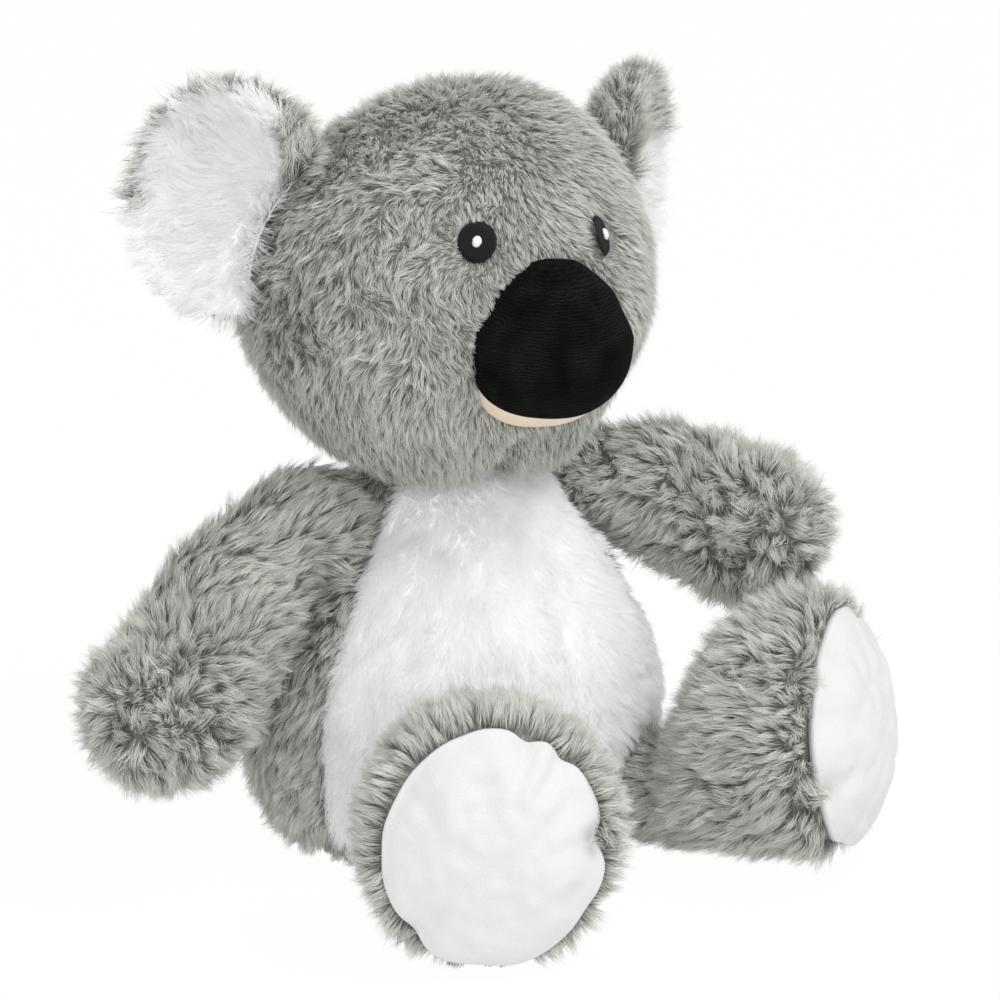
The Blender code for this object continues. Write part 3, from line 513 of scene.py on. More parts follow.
def torso_rows(inset, sides=144):
    """The torso's skin, raised under the belly panel's shorter pile and pressed in at the limbs' roots."""
    rows = []
    for radius, height in torso_profile(inset):
        row = []
        for turn in turns_round(sides, radius == 0):
            outward = Vector((sin(turn), -cos(turn), 0.0))
            point = outward * radius + UP * height
            below_neck = ease(0.135, 0.115, height)
            lift = (lumps(point, 0.034, 0.0013, 5.0) + lumps(point, 0.014, 0.0004, 8.0)) * below_neck
            signed_bend = (abs(wrapped(turn)) - PANEL_HALF_ANGLE) * radius
            if height > PANEL_HEM_HEIGHT:
                lift -= PANEL_SEAM_DEPTH * bell(signed_bend, PANEL_SEAM_WIDTH)
            if height > PANEL_HEM_HEIGHT and below_neck > 0:
                lift += (GREY_INSET - WHITE_INSET) * ease(0.001, -0.004, signed_bend)
            point += outward * lift
            for centre, ball in LIMB_ROOTS:
                inward = Vector((-centre.x, -centre.y, 0.0)).normalized()
                point = pressed(point, centre, ball - inset + ROOT_GAP, inward)
            row.append(point)
        rows.append(row)
    return rows


def ring_about(centre, across, upward, half_across, half_up, sides):
    """The points of an oval."""
    return [centre + across * half_across * cos(a) + upward * half_up * sin(a) for a in turns_round(sides)]


def wad_rows(sides=48):
    """The neck's wad of filling: a cap that lies over the torso's top and in the head's socket."""
    outer, inner = NECK_RADIUS, NECK_RADIUS - GREY_INSET + WAD_GAP
    rows = [[NECK_PIVOT + UP * outer]]
    for radius, steps in ((outer, range(1, 9)), (inner, range(8, 0, -1))):
        for i in steps:
            angle = NECK_SEAM_ANGLE * i / 8
            reach = radius * sin(angle)
            rows.append(ring_about(NECK_PIVOT + UP * radius * cos(angle), LEFTWARD, -FORWARD, reach, reach, sides))
    return rows + [[NECK_PIVOT + UP * inner]]


def arm_curve(key):
    start_pull, paw, end_pull = ARM_CURVES[key]
    shoulder = SHOULDERS[key]
    return (shoulder, shoulder + start_pull, shoulder + paw + end_pull, shoulder + paw)


def arm_radius(share):
    for (low, a), (high, b) in zip(ARM_SWELL, ARM_SWELL[1:]):
        if share <= high:
            return a + (b - a) * ease(low, high, share)
    return PAW_RADIUS


def arm_rows(key, inset, sides=64):
    """An arm's skin: its round root, the bent tube, and the round paw."""
    curve = arm_curve(key)
    heading = bezier_slope(curve, 0).normalized()
    across = heading.cross(UP).normalized()
    upward = across.cross(heading).normalized()
    radius = ARM_ROOT_RADIUS - inset
    rows = [[curve[0] - heading * radius]]
    for i in range(1, 9):
        polar = pi / 2 * i / 8
        centre = curve[0] - heading * radius * cos(polar)
        rows.append(ring_about(centre, across, upward, radius * sin(polar), radius * sin(polar), sides))
    count = 44
    for i in range(1, count + 1):
        share = i / count
        centre = bezier(curve, share)
        heading = bezier_slope(curve, share).normalized()
        across = (across - heading * across.dot(heading)).normalized()
        upward = across.cross(heading).normalized()
        radius = arm_radius(share) - inset
        rows.append(ring_about(centre, across, upward, radius, radius, sides))
    for i in range(1, 12):
        polar = pi / 2 * i / 12
        radius = (PAW_RADIUS - inset) * cos(polar)
        centre = curve[3] + heading * (PAW_RADIUS - inset) * sin(polar)
        rows.append(ring_about(centre, across, upward, radius, radius, sides))
    rows.append([curve[3] + heading * (PAW_RADIUS - inset)])
    for row in rows:
        for k, point in enumerate(row):
            middle = sum(row, Vector()) / len(row)
            outward = (point - middle).normalized() if len(row) > 1 else heading
            lift = lumps(point, 0.022, 0.0013, 11.0) + lumps(point, 0.010, 0.0004, 14.0)
            row[k] = point + outward * lift
    return rows


def leg_place(key):
    splay, raised = LEG_TURNS[key]
    return Matrix.Translation(HIPS[key]) @ Matrix.Rotation(splay, 4, "Z") @ Matrix.Rotation(-raised, 4, "X")


def floor_standing(half_height):
    """The height above the hip of the middle of a ring that stands on the floor."""
    return half_height - FLOOR_FLAT - HIP_HEIGHT


def leg_rows(key, inset, sides=88):
    """A leg's skin, from its root, along the foot, over the rim, and in behind the sole."""
    place = leg_place(key)
    shin_middle = SHIN_RADIUS + PATCH_GAP - HIP_HEIGHT
    knots = [(0.0, 0.0, LEG_ROOT_RADIUS, LEG_ROOT_RADIUS),
             (SOLE_DISTANCE * 0.10, shin_middle, SHIN_RADIUS, SHIN_RADIUS)]
    for distance_share, height_share, width_share in FOOT_SHARES:
        half_height, half_width = FOOT_HALF_HEIGHT * height_share, FOOT_HALF_WIDTH * width_share
        knots.append((SOLE_DISTANCE * distance_share, floor_standing(half_height), half_width, half_height))

    def ring(distance, middle, half_width, half_height):
        return ring_about(FORWARD * distance + UP * middle, LEFTWARD, UP, half_width, half_height, sides)

    radius = LEG_ROOT_RADIUS - inset
    rows = [[-FORWARD * radius]]
    for i in range(1, 8):
        polar = pi / 2 * i / 8
        rows.append(ring(-radius * cos(polar), 0.0, radius * sin(polar), radius * sin(polar)))
    for distance, middle, half_width, half_height in smooth_run(knots, 6):
        rows.append(ring(distance, middle, half_width - inset, half_height - inset))
    distance, middle, half_width, half_height = knots[-1]
    front = SOLE_DISTANCE + FOOT_RIM - inset
    for i in range(0, 9):
        polar = pi / 2 * i / 8
        shrink = inset + FOOT_ROLL * (1 - cos(polar))
        rows.append(ring(front - FOOT_ROLL * (1 - sin(polar)), middle, half_width - shrink, half_height - shrink))
    for share, back in ((0.92, 0.0015), (0.85, 0.004), (0.6, 0.005), (0.3, 0.005)):
        rows.append(ring(front - back, middle - SOLE_DROP, SOLE_HALF_WIDTH * share, SOLE_HALF_HEIGHT * share))
    rows.append([FORWARD * (front - 0.005) + UP * (middle - SOLE_DROP)])
    spin = place.to_3x3()
    made = []
    for row in rows:
        centre = sum(row, Vector()) / len(row)
        new = []
        for point in row:
            outward = (point - centre).normalized() if len(row) > 1 else Vector()
            placed = place @ point
            lift = lumps(placed, 0.024, 0.0012, 21.0) + lumps(placed, 0.011, 0.0004, 24.0)
            new.append(placed + (spin @ outward) * lift)
        made.append(new)
    return made


# Where a sole's seam draws it in: the angle from the toy's left upward and how wide, both in degrees, and how deep,
# as a share of the sole's half size
SOLE_PUCKERS = {
    "r": ((71, 7, 0.075), (50, 6, 0.060), (3, 8, 0.085), (-32, 9, 0.020), (223, 9, 0.055), (146, 22, 0.055),
          (180, 10, 0.025), (105, 9, 0.020), (262, 12, 0.015)),
    "l": ((62, 9, 0.050), (28, 8, 0.045), (118, 10, 0.055), (160, 9, 0.045), (200, 10, 0.070), (245, 9, 0.050),
          (300, 10, 0.050), (338, 8, 0.035)),
}
SOLE_FORWARD = {"r": 0.0, "l": 0.002}
SOLE_DOME = {"r": SOLE_BULGE, "l": SOLE_BULGE + 0.003}
SOLE_SEEDS = {"r": 2.0, "l": 9.0}
SOLE_CLOTH = 0.0028         # thickness of a sole's cloth


def sole_edge(key, turn):
    """How far the sole's outline stands from an oval's at this turn, as a share, and how deep in a pucker it is."""
    around = Vector((cos(turn), sin(turn), 0.0))
    pucker = 0.0
    for angle, width, depth in SOLE_PUCKERS[key]:
        pucker += depth * bell(wrapped(turn - radians(angle)), radians(width))
    uneven = noise.noise(around * 1.7 + Vector((SOLE_SEEDS[key], 0, 0)))
    return 1 + 0.035 * uneven + 0.008 - pucker, pucker


def sole_rows(key, sides=160):
    """The smooth domed panel that closes a foot, drawn into puckers by its seam."""
    place = leg_place(key)
    middle = floor_standing(FOOT_HALF_HEIGHT) - SOLE_DROP

    def point(share, turn, back):
        around = Vector((cos(turn), sin(turn), 0.0))
        outline, pucker = sole_edge(key, turn)
        wobble = 1 + (outline - 1) * ease(0.72, 1.0, share)
        spot = Vector((around.x * share, around.y * share, SOLE_SEEDS[key]))
        soft = noise.noise(spot * 2.2)
        fine = noise.noise(spot * 6.0)
        dome = SOLE_DOME[key] * (1 - share**3.4) - back
        dome -= 0.036 * min(pucker, 0.09) * ease(0.35, 0.9, share) * (1 - 0.6 * ease(0.93, 1.0, share))
        dome += (0.0026 * soft + 0.0010 * fine) * ease(1.0, 0.8, share)
        return (
            FORWARD * (SOLE_DISTANCE + SOLE_FORWARD[key] + dome)
            + LEFTWARD * SOLE_HALF_WIDTH * share * wobble * cos(turn)
            + UP * (middle + SOLE_HALF_HEIGHT * share * wobble * sin(turn))
        )

    turns = turns_round(sides)
    shares = [i / 40 for i in range(1, 39)] + [0.965, 0.98, 0.992, 1.0]
    rows = [[point(0, 0, 0)]] + [[point(share, turn, 0) for turn in turns] for share in shares]
    rows += [[point(share, turn, SOLE_CLOTH) for turn in turns] for share in (0.99, 0.9, 0.6, 0.3)]
    rows.append([point(0, 0, SOLE_CLOTH)])
    return [[place @ spot for spot in row] for row in rows]


def ear_place(key):
    side = -1 if key == "r" else 1
    along = Vector((side * cos(EAR_ANGLE), sin(EAR_ANGLE), 0.0))
    facing = Vector((side * sin(EAR_ANGLE), -cos(EAR_ANGLE), 0.0))
    turn = Matrix((along, UP, facing * side)).transposed().to_4x4()
    return HEAD_PLACE @ Matrix.Translation((side * EAR_HINGE.x, EAR_HINGE.y, EAR_HINGE.z)) @ turn


def ear_cup(share):
    return -EAR_CUP_DEPTH * (1 - share * share)


def ear_back(share, inset):
    depth = EAR_BACK_DEPTH - EAR_RIM_RADIUS * 2 - inset
    return -depth * sqrt(max(0.0, 1 - share**2.2)) - EAR_RIM_RADIUS * 2


def ear_rows(key, size_share, shrink, top, bottom, bulge, sides=72, rings=14):
    """One layer of an ear, kept out of the head through the ear's whole flop."""
    side = -1 if key == "r" else 1
    place = ear_place(key)
    middle = EAR_HALF_WIDTH - EAR_TUCK
    flops = [Matrix.Rotation(turn, 4, "Y") for turn in (-EAR_FLOP, 0.0, EAR_FLOP)]
    into_head = [HEAD_PLACE_BACK @ place @ flop for flop in flops]
    outward = Vector((1.0, 0.0, 0.0))

    def clear(point):
        for _ in range(60):
            if all(head_depth(turn @ point) < -0.0010 for turn in into_head):
                return point
            point = point + outward * 0.0007
        return point

    def ring(share, depth, out=0.0):
        half_width = (EAR_HALF_WIDTH * size_share - shrink) * share + out
        half_height = (EAR_HALF_HEIGHT * size_share - shrink) * share + out
        return [
            Vector((middle + half_width * cos(a), half_height * sin(a), side * (depth + EAR_HINGE_DEPTH)))
            for a in turns_round(sides)
        ]

    rows = [[Vector((middle, 0.0, side * (top(0) + EAR_HINGE_DEPTH)))]]
    rows += [ring(i / rings, top(i / rings)) for i in range(1, rings + 1)]
    for turn in (0.25, 0.5, 0.75):
        low, high = bottom(1), top(1)
        rows.append(ring(1, high + (low - high) * turn, bulge * sin(pi * turn)))
    rows += [ring(i / rings, bottom(i / rings)) for i in range(rings, 0, -1)]
    rows.append([Vector((middle, 0.0, side * (bottom(0) + EAR_HINGE_DEPTH)))])
    return [[place @ clear(point) for point in row] for row in rows]


# Pile ----------------------------------------------------------------------------------------------------------------


class Wiring:
    """Adds nodes to a tree. Inputs are given by socket name or number, as values or as outputs to link from."""

    def __init__(self, tree):
        self.tree = tree

    def add(self, kind, inputs=None, **settings):
        node = self.tree.nodes.new(kind)
        for name, value in settings.items():
            setattr(node, name, value)
        for key, value in (inputs or {}).items():
            target = node.inputs[key] if isinstance(key, int) else self.pick(node.inputs, key)
            if isinstance(value, bpy.types.NodeSocket):
                self.tree.links.new(value, target)
            else:
                target.default_value = value
        return node

    @staticmethod
    def pick(sockets, name):
        return next(socket for socket in sockets if socket.name == name and socket.enabled)

    def out(self, kind, inputs=None, output=None, **settings):
        node = self.add(kind, inputs, **settings)
        if output:
            return self.pick(node.outputs, output)
        return next(socket for socket in node.outputs if socket.enabled)

    def math(self, operation, *values):
        return self.out("ShaderNodeMath", dict(enumerate(values)), operation=operation)

    def vector(self, operation, *values, output="Vector"):
        return self.out("ShaderNodeVectorMath", dict(enumerate(values)), output, operation=operation)

    def scaled(self, vector, factor):
        return self.out("ShaderNodeVectorMath", {0: vector, "Scale": factor}, "Vector", operation="SCALE")

    def drift(self, place, scale, detail):
        """A vector that changes smoothly and at random, with each part from minus a half to a half."""
        cloud = self.out("ShaderNodeTexNoise", {"Vector": place, "Scale": scale, "Detail": detail}, "Color")
        return self.vector("SUBTRACT", cloud, (0.5, 0.5, 0.5))

    def stored(self, geometry, name, value):
        return self.out("GeometryNodeStoreNamedAttribute", {"Geometry": geometry, "Name": name, "Value": value},
                        data_type="FLOAT", domain="POINT")

    def named(self, name, kind="FLOAT"):
        return self.out("GeometryNodeInputNamedAttribute", {"Name": name}, "Attribute", data_type=kind)

    def random(self, low, high, seed, item=None, kind="FLOAT"):
        inputs = {"Min": low, "Max": high, "Seed": seed}
        if item:
            inputs["ID"] = item
        return self.out("FunctionNodeRandomValue", inputs, "Value", data_type=kind)


PILE_INPUTS = (
    ("Cover", "NodeSocketString", ""),
    ("Strands", "NodeSocketFloat", 1e6),
    ("Tufts", "NodeSocketFloat", 5e4),
    ("Length", "NodeSocketFloat", 0.01),
    ("Width", "NodeSocketFloat", 0.0004),
    ("Stand", "NodeSocketFloat", 0.5),
    ("Spread", "NodeSocketFloat", 0.3),
    ("Eddies", "NodeSocketFloat", 1.0),
    ("Fineness", "NodeSocketFloat", 1.0),
    ("Pull", "NodeSocketFloat", 0.6),
    ("Wave", "NodeSocketFloat", 0.001),
    ("Floor", "NodeSocketFloat", 0.0),
    ("Seed", "NodeSocketInt", 0),
    ("Material", "NodeSocketMaterial", None),
)


def pile_tree():
    """Grows pile on a skin: a bent, tapering ribbon for each lock of fibres, combed along the nap into tufts."""
    tree = bpy.data.node_groups.new("pile", "GeometryNodeTree")
    tree.interface.new_socket(name="Geometry", in_out="INPUT", socket_type="NodeSocketGeometry")
    for name, kind, default in PILE_INPUTS:
        made = tree.interface.new_socket(name=name, in_out="INPUT", socket_type=kind)
        if default is not None:
            made.default_value = default
    tree.interface.new_socket(name="Geometry", in_out="OUTPUT", socket_type="NodeSocketGeometry")
    w = Wiring(tree)
    given = tree.nodes.new("NodeGroupInput").outputs
    seeds = [w.math("ADD", given["Seed"], number) for number in range(1, 10)]

    cover = w.out("GeometryNodeInputNamedAttribute", {"Name": given["Cover"]}, "Attribute", data_type="FLOAT")
    nap = w.named("nap", "FLOAT_VECTOR")
    length = w.math("MULTIPLY", given["Length"], w.named("length"))

    def scatter(density, number):
        node = w.add(
            "GeometryNodeDistributePointsOnFaces",
            {"Mesh": given["Geometry"], "Density": w.math("MULTIPLY", density, cover), "Seed": seeds[number]},
            distribute_method="RANDOM",
        )
        return node.outputs["Points"], node.outputs["Normal"]

    here = w.out("GeometryNodeInputPosition")
    fineness = w.math("MULTIPLY", given["Fineness"], EDDY_SCALE)
    ruffled = w.math("MULTIPLY", given["Eddies"], w.named("ruffle"))
    combed = w.vector("ADD", nap, w.scaled(w.drift(here, fineness, 1.5), ruffled))

    def tip(normal, spread, number, share):
        """Where a strand that starts here ends, as it is combed."""
        low, high = (-1.0, -1.0, -1.0), (1.0, 1.0, 1.0)
        stray = w.scaled(w.random(low, high, seeds[number], kind="FLOAT_VECTOR"), spread)
        heading = w.vector("ADD", w.scaled(normal, given["Stand"]), w.vector("ADD", combed, stray))
        return w.vector("ADD", here, w.scaled(w.vector("NORMALIZE", heading), w.math("MULTIPLY", length, share)))

    tufts, tuft_normal = scatter(given["Tufts"], 0)
    strands, normal = scatter(given["Strands"], 1)
    tuft_tip = tip(tuft_normal, given["Spread"], 2, w.random(0.72, 1.22, seeds[3]))
    nearest = w.out("GeometryNodeSampleNearest", {"Geometry": tufts, "Sample Position": here}, domain="POINT")
    shared_tip = w.out(
        "GeometryNodeSampleIndex",
        {"Geometry": tufts, "Value": tuft_tip, "Index": nearest},
        data_type="FLOAT_VECTOR",
        domain="POINT",
    )
    own_tip = tip(normal, w.math("MULTIPLY", given["Spread"], 0.55), 3, 1.0)
    pull = w.math("MULTIPLY", given["Pull"], w.random(0.6, 1.25, seeds[4]))
    final_tip = w.out("ShaderNodeMix", {"Factor": pull, "A": own_tip, "B": shared_tip}, "Result",
                      data_type="VECTOR")
    run = w.vector("SUBTRACT", final_tip, here)
    reach = w.math("MULTIPLY", w.vector("LENGTH", run, output="Value"), w.random(0.72, 1.12, seeds[5]))

    upright = w.out("FunctionNodeAlignRotationToVector", {"Vector": run}, axis="Z")
    facing = w.out(
        "FunctionNodeAlignRotationToVector", {"Rotation": upright, "Vector": normal}, axis="Y", pivot_axis="Z"
    )
    roll = w.out(
        "FunctionNodeAxisAngleToRotation", {"Axis": (0.0, 0.0, 1.0), "Angle": w.random(-0.8, 0.8, seeds[6])}
    )
    turned = w.out("FunctionNodeRotateRotation", {"Rotation": facing, "Rotate By": roll}, rotation_space="LOCAL")
    width = w.math("MULTIPLY", given["Width"], w.random(0.75, 1.3, seeds[7]))
    scale = w.out("ShaderNodeCombineXYZ", {"X": width, "Y": reach, "Z": reach})

    grid = w.out(
        "GeometryNodeMeshGrid",
        {"Size X": 1.0, "Size Y": 1.0, "Vertices X": 2, "Vertices Y": STRAND_SEGMENTS + 1},
        "Mesh",
    )
    flat = w.add("ShaderNodeSeparateXYZ", {0: w.out("GeometryNodeInputPosition")}).outputs
    along = w.math("ADD", flat["Y"], 0.5)
    taper = w.math("SUBTRACT", 1.0, w.math("POWER", along, STRAND_TAPER))
    bulge = w.math("MULTIPLY", w.math("MULTIPLY", along, w.math("SUBTRACT", 1.0, along)), STRAND_BULGE)
    shape = w.out("ShaderNodeCombineXYZ", {"X": w.math("MULTIPLY", flat["X"], taper), "Y": bulge, "Z": along})
    ribbon = w.stored(grid, "along", along)
    ribbon = w.out("GeometryNodeSetPosition", {"Geometry": ribbon, "Position": shape})
    ribbon = w.out("GeometryNodeMergeByDistance", {"Geometry": ribbon, "Distance": 0.001})
    ribbon = w.out("GeometryNodeSetShadeSmooth", {"Geometry": ribbon, "Shade Smooth": True})

    shade = w.math(
        "ADD",
        w.math("MULTIPLY", w.random(0.0, 1.0, seeds[8]), 0.5),
        w.math("MULTIPLY", w.random(0.0, 1.0, seeds[6], nearest), 0.5),
    )
    strands = w.stored(strands, "shade", shade)
    grown = w.out(
        "GeometryNodeInstanceOnPoints",
        {"Points": strands, "Instance": ribbon, "Rotation": turned, "Scale": scale},
    )
    for name in ("nap", "length", "ruffle"):
        grown = w.out("GeometryNodeRemoveAttribute", {"Geometry": grown, "Name": name})
    grown = w.out("GeometryNodeRemoveAttribute", {"Geometry": grown, "Name": "cover*"}, pattern_mode="WILDCARD")
    grown = w.out("GeometryNodeRealizeInstances", {"Geometry": grown})
    drift = w.drift(w.out("GeometryNodeInputPosition"), WAVE_SCALE, 1.0)
    bend = w.math("MULTIPLY", w.math("POWER", w.named("along"), 1.5), given["Wave"])
    grown = w.out("GeometryNodeSetPosition", {"Geometry": grown, "Offset": w.scaled(drift, bend)})
    spot = w.add("ShaderNodeSeparateXYZ", {0: w.out("GeometryNodeInputPosition")}).outputs
    above = w.out(
        "ShaderNodeCombineXYZ", {"X": spot["X"], "Y": spot["Y"], "Z": w.math("MAXIMUM", spot["Z"], given["Floor"])}
    )
    grown = w.out("GeometryNodeSetPosition", {"Geometry": grown, "Position": above})
    grown = w.out("GeometryNodeSetMaterial", {"Geometry": grown, "Material": given["Material"]})
    end = tree.nodes.new("NodeGroupOutput")
    tree.links.new(grown, end.inputs[0])
    return tree


def grow_pile(name, skin, body, slot, material, **sizes):
    """Grows pile on the skin as a plain mesh of its own, and has it ride on the body."""
    tree = bpy.data.node_groups.get("pile") or pile_tree()
    base = bpy.data.objects.new(name + "_base", skin.data.copy())
    bpy.context.scene.collection.objects.link(base)
    step = base.modifiers.new("pile", "NODES")
    step.node_group = tree
    sockets = {item.name: item.identifier for item in tree.interface.items_tree if item.in_out == "INPUT"}
    for key, value in {"Floor": FLOOR_CLEAR, "Material": material, **sizes}.items():
        step[sockets[key]] = value
    bpy.context.view_layer.update()
    depsgraph = bpy.context.evaluated_depsgraph_get()
    mesh = bpy.data.meshes.new_from_object(base.evaluated_get(depsgraph), preserve_all_data_layers=True,
                                           depsgraph=depsgraph)
    bpy.data.objects.remove(base, do_unlink=True)
    if not len(mesh.polygons):
        raise RuntimeError(f"no pile grew on {skin.name}")
    mesh.name = name
    if not mesh.materials:
        mesh.materials.append(material)
    pile = bpy.data.objects.new(name, mesh)
    bpy.context.scene.collection.objects.link(pile)
    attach(pile, body)
    triangles = sum(len(face.vertices) - 2 for face in mesh.polygons)
    print(f"{name}: {triangles} triangles")


def mark(mesh, nap_at, length_at, covers, ruffle_at=lambda point: 1.0):
    """Gives a skin what its pile reads: the way it is combed, how long, how ruffled, and how dense it is."""
    naps, lengths, shares = [], [], {name: [] for name in covers}
    normals = [vert.normal.copy() for vert in mesh.vertices]
    for vert, normal in zip(mesh.vertices, normals):
        nap = nap_at(vert.co, normal)
        nap = nap - normal * nap.dot(normal)
        if nap.length > 1:
            nap.normalize()
        naps += list(nap)
        lengths.append(length_at(vert.co, normal))
        for name, cover_at in covers.items():
            shares[name].append(cover_at(vert.co, normal))
    ruffles = [ruffle_at(vert.co) for vert in mesh.vertices]
    mesh.attributes.new("nap", "FLOAT_VECTOR", "POINT").data.foreach_set("vector", naps)
    mesh.attributes.new("ruffle", "FLOAT", "POINT").data.foreach_set("value", ruffles)
    mesh.attributes.new("length", "FLOAT", "POINT").data.foreach_set("value", lengths)
    for name, values in shares.items():
        mesh.attributes.new(name, "FLOAT", "POINT").data.foreach_set("value", values)


def swirled(nap, normal, point, size, strength, seed=0.0):
    """The nap, turned on the cloth by slow swirls."""
    turn = noise.noise(point / size + Vector((seed, -seed, seed * 0.5))) * strength
    return Matrix.Rotation(turn, 3, normal) @ nap


# Finishes ------------------------------------------------------------------------------------------------------------


def group(name, sockets, outputs):
    """A new shader node group, its wiring, and its ends."""
    tree = bpy.data.node_groups.new(name, "ShaderNodeTree")
    for label, kind, default in sockets:
        made = tree.interface.new_socket(name=label, in_out="INPUT", socket_type=kind)
        made.default_value = default
    for label, kind in outputs:
        tree.interface.new_socket(name=label, in_out="OUTPUT", socket_type=kind)
    return tree, Wiring(tree), tree.nodes.new("NodeGroupInput").outputs, tree.nodes.new("NodeGroupOutput").inputs


def strand_colour_group():
    """A strand's colour: its root, darkened as painted shade deep in the pile, its tip, its own random tone, and the
    slow changes of the dyed cloth.
    """
    tree, w, given, end = group(
        "strand_colour",
        (
            ("Shaded Root", "NodeSocketColor", (0.2, 0.2, 0.2, 1)),
            ("Tip", "NodeSocketColor", (0.6, 0.6, 0.6, 1)),
            ("Shade Range", "NodeSocketFloat", 0.3),
            ("Patch Range", "NodeSocketFloat", 0.1),
            ("Patch Scale", "NodeSocketFloat", 60.0),
        ),
        (("Colour", "NodeSocketColor"),),
    )
    along = w.out("ShaderNodeAttribute", {}, "Fac", attribute_name="along")
    shade = w.out("ShaderNodeAttribute", {}, "Fac", attribute_name="shade")
    place = w.out("ShaderNodeTexCoord", {}, "Object")
    patch = w.out("ShaderNodeTexNoise", {"Vector": place, "Scale": given["Patch Scale"], "Detail": 2.0}, "Fac")
    # The roots' darker colour is painted shade deep in the pile.
    run = w.out("ShaderNodeMapRange", {"Value": along, "From Min": 0.0, "From Max": 0.7}, "Result",
                interpolation_type="SMOOTHSTEP")
    base = w.out("ShaderNodeMix", {"Factor": run, "A": given["Shaded Root"], "B": given["Tip"]}, "Result", data_type="RGBA")
    lift = w.math("MULTIPLY", w.math("SUBTRACT", shade, 0.5), given["Shade Range"])
    slow = w.math("MULTIPLY", w.math("SUBTRACT", patch, 0.5), given["Patch Range"])
    gain = w.math("ADD", 1.0, w.math("ADD", lift, slow))
    toned = w.out("ShaderNodeVectorMath", {0: base, "Scale": gain}, "Vector", operation="SCALE")
    tree.links.new(toned, end["Colour"])
    return tree


def fuzz_group():
    """Fine fibres on cloth: a soft mottling of its colour, and the height of its surface."""
    tree, w, given, end = group(
        "fuzz",
        (
            ("Colour", "NodeSocketColor", (0.5, 0.5, 0.5, 1)),
            ("Scale", "NodeSocketFloat", 900.0),
            ("Mottle", "NodeSocketFloat", 0.1),
        ),
        (("Colour", "NodeSocketColor"), ("Height", "NodeSocketFloat")),
    )
    place = w.out("ShaderNodeTexCoord", {}, "Object")
    fine = w.out("ShaderNodeTexNoise", {"Vector": place, "Scale": given["Scale"], "Detail": 3.0}, "Fac")
    broad = w.out("ShaderNodeTexNoise", {"Vector": place, "Scale": w.math("MULTIPLY", given["Scale"], 0.08)}, "Fac")
    both = w.math("ADD", w.math("MULTIPLY", fine, 0.6), w.math("MULTIPLY", broad, 0.4))
    gain = w.math("ADD", 1.0, w.math("MULTIPLY", w.math("SUBTRACT", both, 0.5), given["Mottle"]))
    toned = w.out("ShaderNodeVectorMath", {0: given["Colour"], "Scale": gain}, "Vector", operation="SCALE")
    tree.links.new(toned, end["Colour"])
    tree.links.new(fine, end["Height"])
    return tree


def finish(name, roughness, sheen=0.0, specular=0.3):
    """A material with a Principled shader, to which the caller links colour and relief."""
    made = bpy.data.materials.new(name)
    made.use_nodes = True
    shader = made.node_tree.nodes["Principled BSDF"]
    shader.inputs["Roughness"].default_value = roughness
    shader.inputs["Sheen Weight"].default_value = sheen
    shader.inputs["Sheen Roughness"].default_value = 0.5
    shader.inputs["Specular IOR Level"].default_value = specular
    return made, Wiring(made.node_tree), shader


def placed(w, tree, inputs):
    """The outputs of a shader node group that is placed in a material with these inputs."""
    node = w.tree.nodes.new("ShaderNodeGroup")
    node.node_tree = tree
    for key, value in inputs.items():
        node.inputs[key].default_value = value
    return node.outputs


def pile_finish(name, root, tip, shade, patch, sheen, translucence):
    """Strands, which scatter part of the light back and let the rest through, in the share given."""
    made, w, shader = finish(name, roughness=0.72, sheen=sheen, specular=0.22)
    tree = bpy.data.node_groups.get("strand_colour") or strand_colour_group()
    given = placed(w, tree, {"Shaded Root": root, "Tip": tip, "Shade Range": shade, "Patch Range": patch})
    w.tree.links.new(given["Colour"], shader.inputs["Base Color"])
    through = w.out("ShaderNodeBsdfTranslucent", {"Color": given["Colour"]}, "BSDF")
    mixed = w.out("ShaderNodeMixShader", {0: translucence, 1: shader.outputs["BSDF"], 2: through})
    w.tree.links.new(mixed, w.tree.nodes["Material Output"].inputs["Surface"])
    made.diffuse_color = tip
    return made


def cloth_finish(name, colour, roughness, scale, mottle, relief, sheen, specular):
    """Cloth or thread, mottled and roughened by its fibres."""
    made, w, shader = finish(name, roughness, sheen, specular)
    tree = bpy.data.node_groups.get("fuzz") or fuzz_group()
    given = placed(w, tree, {"Colour": colour, "Scale": scale, "Mottle": mottle})
    w.tree.links.new(given["Colour"], shader.inputs["Base Color"])
    bump = w.out("ShaderNodeBump", {"Height": given["Height"], "Distance": relief, "Strength": 1.0}, "Normal")
    w.tree.links.new(bump, shader.inputs["Normal"])
    made.diffuse_color = colour
    return made


NAP_LINES = 290.0           # of the level lines in the nose's nap, for each metre
NAP_FIBRES = 1900.0         # of the fibres between them


